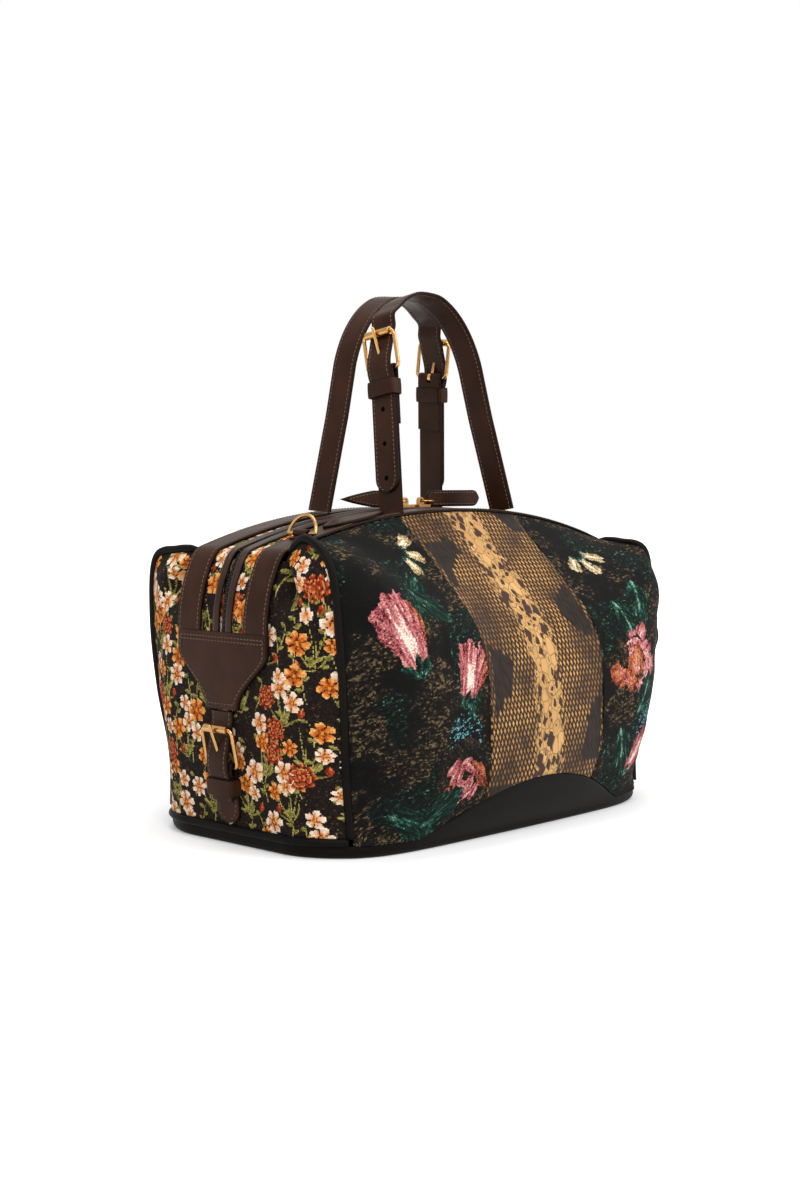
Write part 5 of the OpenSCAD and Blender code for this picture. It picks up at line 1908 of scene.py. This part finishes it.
# %% Handles
def make_handle(side, lean):
    """One handle with its folded strap, keeper, stitches, and holes drawn as discs of painted shade."""

    def spot(points, direction=False):
        return TURNS[side](leaned(points, lean, direction))

    def leg_ply(line, y):
        flat = on_leg(line)
        return spot(in_space(flat, y)), spot(in_space(flat_normals(flat)), True)

    def leg_spot(local):
        return spot(placed(local, on_leg))

    across = spot(ALONG_Y, True)
    centre = spot(in_space(handle_line))
    out = spot(in_space(handle_out), True)
    widths = tip_widths(in_space(handle_line), STRAP_W, TIP_LENGTH)
    long_strap = strap_mesh(centre, out, across, widths, LEATHER, STRAP_CROWN)
    plies = chape_meshes(HANDLE_PLY, LEG_L + FOOT_OVERRUN, leg_ply, across)
    for points, _, _ in [long_strap, *plies]:
        points[:, 2] = np.maximum(points[:, 2], FOOT_Z - FOOT_SINK)
    up_leg = spot(np.array([math.sin(LEG_LEAN), 0.0, math.cos(LEG_LEAN)]), True)
    keeper = keeper_mesh(-LOOP_R - SEAM_GAP - KEEPER_T, True, leg_spot, up_leg)
    add_straps(side + "_handle_strap", [long_strap])
    add_straps(side + "_handle_chape", plies)
    add_straps(side + "_handle_keeper", [keeper])

    rows = []
    step = (widths / 2 - BAND_STITCH).clip(0)[:, None] * ALONG_Y
    for edge in (-1, 1):
        for face, lift in ((1, LIFT_HANDLE), (-1, LIFT_UNDER)):
            line = in_space(handle_line + face * (LEATHER / 2 + lift) * handle_out) + edge * step
            rows.append((spot(line[:-2]), spot(in_space(face * handle_out[:-2]), True)))
    sew(side + "_handle_stitches", rows)

    # Each hole is a near-black disc on the strap's face: painted shade that stands for the dark inside of
    # the hole.
    hole_points = []
    hole_faces = []
    normal = spot(np.array([math.cos(LEG_LEAN), 0.0, -math.sin(LEG_LEAN)]), True)
    for k in (1, 2, 3):
        place = np.array([[ON_CHAPE + LEATHER / 2 + HOLE_LIFT, 0.0, HOLE_FROM - HOLE_PITCH * k]])
        hole_faces.append(tuple(range(len(hole_points), len(hole_points) + HOLE_SIDES)))
        hole_points += list(disc(leg_spot(place)[0], normal, HOLE_R))
    add_piece(side + "_handle_hole_shade_discs", hole_points, hole_faces, hole_shade_finish, slot="brown_leather")


make_handle("back", BACK_LEAN)
make_handle("front", FRONT_LEAN)
print("handles made")

# %% [markdown]
# ### Tabs, ring loops and zip pulls
# The small leather pieces are strips too. A tab has the lens shape in which two circles overlap, so its
# width comes from a circle. A ring loop is a strip wound round the ring's wire, over a flat foot. The
# two pulls lie along the zip, on edge, and differ at the tip: one is round, one tapers like a leaf.

# %% Lens tabs
LENS_L = 62.0
LENS_START = HANDLE_FOOT + 2 * LOOP_R
LENS_HALF = STRAP_W / 2
LENS_R = (LENS_L * LENS_L / 4 + LENS_HALF * LENS_HALF) / (2 * LENS_HALF)
LENS_STITCH = 2.4
LENS_MARGIN = 8
lens_x = np.linspace(0.4, LENS_L - 0.4, 50)
lens_half = np.sqrt(LENS_R**2 - (lens_x - LENS_L / 2) ** 2) - (LENS_R - LENS_HALF)
lens_line = np.stack([LENS_START + lens_x, ridge_z(LENS_START + lens_x)], 1)
lens_out = flat_normals(lens_line)
lens_height = BAND_HIGH + SEAM_GAP + LEATHER / 2


def lens_tab(side):
    """Tab sewn on the band behind a handle's foot, with a row of stitches inside its edge."""
    turn = TURNS[side]
    centre = in_space(lens_line + lens_height * lens_out, BAND_Y)
    out = in_space(lens_out)
    strap(side + "_handle_tab", turn(centre), turn(out), turn(ALONG_Y), 2 * lens_half, LEATHER, STRAP_CROWN)
    face = in_space(lens_line + (lens_height + LEATHER / 2 + LIFT_TAB) * lens_out, BAND_Y)
    sewn = slice(LENS_MARGIN, -LENS_MARGIN)
    half = (lens_half - LENS_STITCH).clip(0)
    sew(side + "_tab_stitches", edge_rows(face[sewn], out[sewn], half[sewn], turn))


# %% Ring loops
RING_X = 150.0
RING_PLY = 1.2
RING_HOLE = 1.5
RING_LIFT = BAND_HIGH + SEAM_GAP + RING_PLY + RING_HOLE
RING_LOOP_W = 14.0
RING_FOOT = 7
SLOPE_REACH = 5
ring_fall = float(ridge_z(RING_X + SLOPE_REACH) - ridge_z(RING_X - SLOPE_REACH))
ring_slope = -math.atan2(ring_fall, 2 * SLOPE_REACH)


def at_ring(flat):
    """From along and up at the ring to x and z."""
    return rotated(flat + np.array([0.0, RING_LIFT]), ring_slope, (RING_X, float(ridge_z(RING_X))))


ring_mid = RING_HOLE + RING_PLY / 2
loop_turn = np.radians(np.linspace(250, -70, 40))
ring_round = at_ring(ellipse(loop_turn, (0.0, 0.0), ring_mid, ring_mid))
ring_foot = at_ring(np.stack([np.linspace(-RING_FOOT, RING_FOOT, 12), np.full(12, -ring_mid)], 1))


def ring_loop(side):
    """Strip wound round the ring's wire, and the foot that is sewn to the band."""
    turn = TURNS[side]
    parts = []
    for line in (ring_round, ring_foot):
        centre = turn(in_space(line, BAND_Y))
        out = turn(in_space(flat_normals(line)))
        parts.append(strap_mesh(centre, out, turn(ALONG_Y), RING_LOOP_W, RING_PLY, PLY_CROWN))
    add_straps(side + "_ring_loop", parts)


for side, ring_side in (("back", "right"), ("front", "left")):
    lens_tab(side)
    ring_loop(ring_side)
print("tabs and ring loops made")

# %% Zip pulls
PULL_X = 20.7
PULL_L = 57.0
PULL_H = 13.0
PULL_T = 3.0
PULL_LOW = 4.6
PULL_HEEL = 4
PULL_CROWN = 0.2
PULL_STITCH = 2.0
PULL_POINTS = 60
PULL_MARGIN = 6
ROUND_TIP = 6.5
LEAF_TIP = 34
SLIDER_T = 2.5
BRIDGE_HOLE = 3.6
BRIDGE_WALL = 1.2
SLIDER_LOW = BODY_H + BAND_HIGH + SEAM_GAP
BRIDGE_Z = SLIDER_LOW + SLIDER_T + 0.5 * BRIDGE_HOLE + 0.75 * BRIDGE_WALL
UPWARD = np.array([0.0, 0.0, 1.0])


def round_end(share, least):
    """Half width of a round end, where share is the way from the tip to the full width."""
    return np.sqrt(np.clip(1 - (1 - share).clip(0) ** 2, least, 1))


pull_x = np.linspace(-PULL_HEEL, PULL_L, PULL_POINTS)
pull_z = np.full(PULL_POINTS, BRIDGE_Z + PULL_H / 2 - PULL_LOW)
pull_line = np.stack([PULL_X + pull_x, np.zeros(PULL_POINTS), pull_z], 1)
round_half = round_end((PULL_L - pull_x) / ROUND_TIP, 0.02)
leaf_half = np.clip(((PULL_L - pull_x) / LEAF_TIP).clip(0.02, 1) ** 0.7, 0.05, 1)
heel = round_end((pull_x + PULL_HEEL) / PULL_HEEL, 0.2)
sewn = slice(PULL_MARGIN, -PULL_MARGIN)
for side, shape in (("right", round_half), ("left", leaf_half)):
    turn = TURNS[side]
    width = PULL_H * np.minimum(shape, heel)
    body = side + "_pull"
    strap(body + "_tab", turn(pull_line), turn(-ALONG_Y), UPWARD, width, PULL_T, PULL_CROWN, body=body)
    rows = []
    step = (width / 2 - PULL_STITCH).clip(0.1)[:, None] * UPWARD
    for face in (-1, 1):
        for edge in (-1, 1):
            run = pull_line + face * (PULL_T / 2 + LIFT_PULL) * ALONG_Y + edge * step
            rows.append((turn(run[sewn]), turn(face * ALONG_Y)))
    sew(body + "_stitches", rows, body)
print("pulls made")

# %% [markdown]
# ## Metal and board
# Buckles, rollers, prongs, rings and sliders keep their CAD meshes. Welding their seams and splitting
# only the real edges gives a smooth shine.

# %% Dress the CAD pieces
METAL_WORDS = ("buckle", "roller", "prong", "ring", "slider")
METAL_ANGLE = 38
WELD_REACH = 1e-5
dressed = []
for name, node in nodes.items():
    if node.hide_render:
        continue
    is_metal = any(word in name for word in METAL_WORDS)
    node.data.materials.clear()
    node.data.materials.append(gold if is_metal else board)
    node.data.shade_smooth()
    weld = node.modifiers.new("weld", "WELD")
    weld.merge_threshold = WELD_REACH
    split = node.modifiers.new("edges", "EDGE_SPLIT")
    split.split_angle = math.radians(METAL_ANGLE)
    dressed.append(name)
print("CAD pieces shown:", dressed)
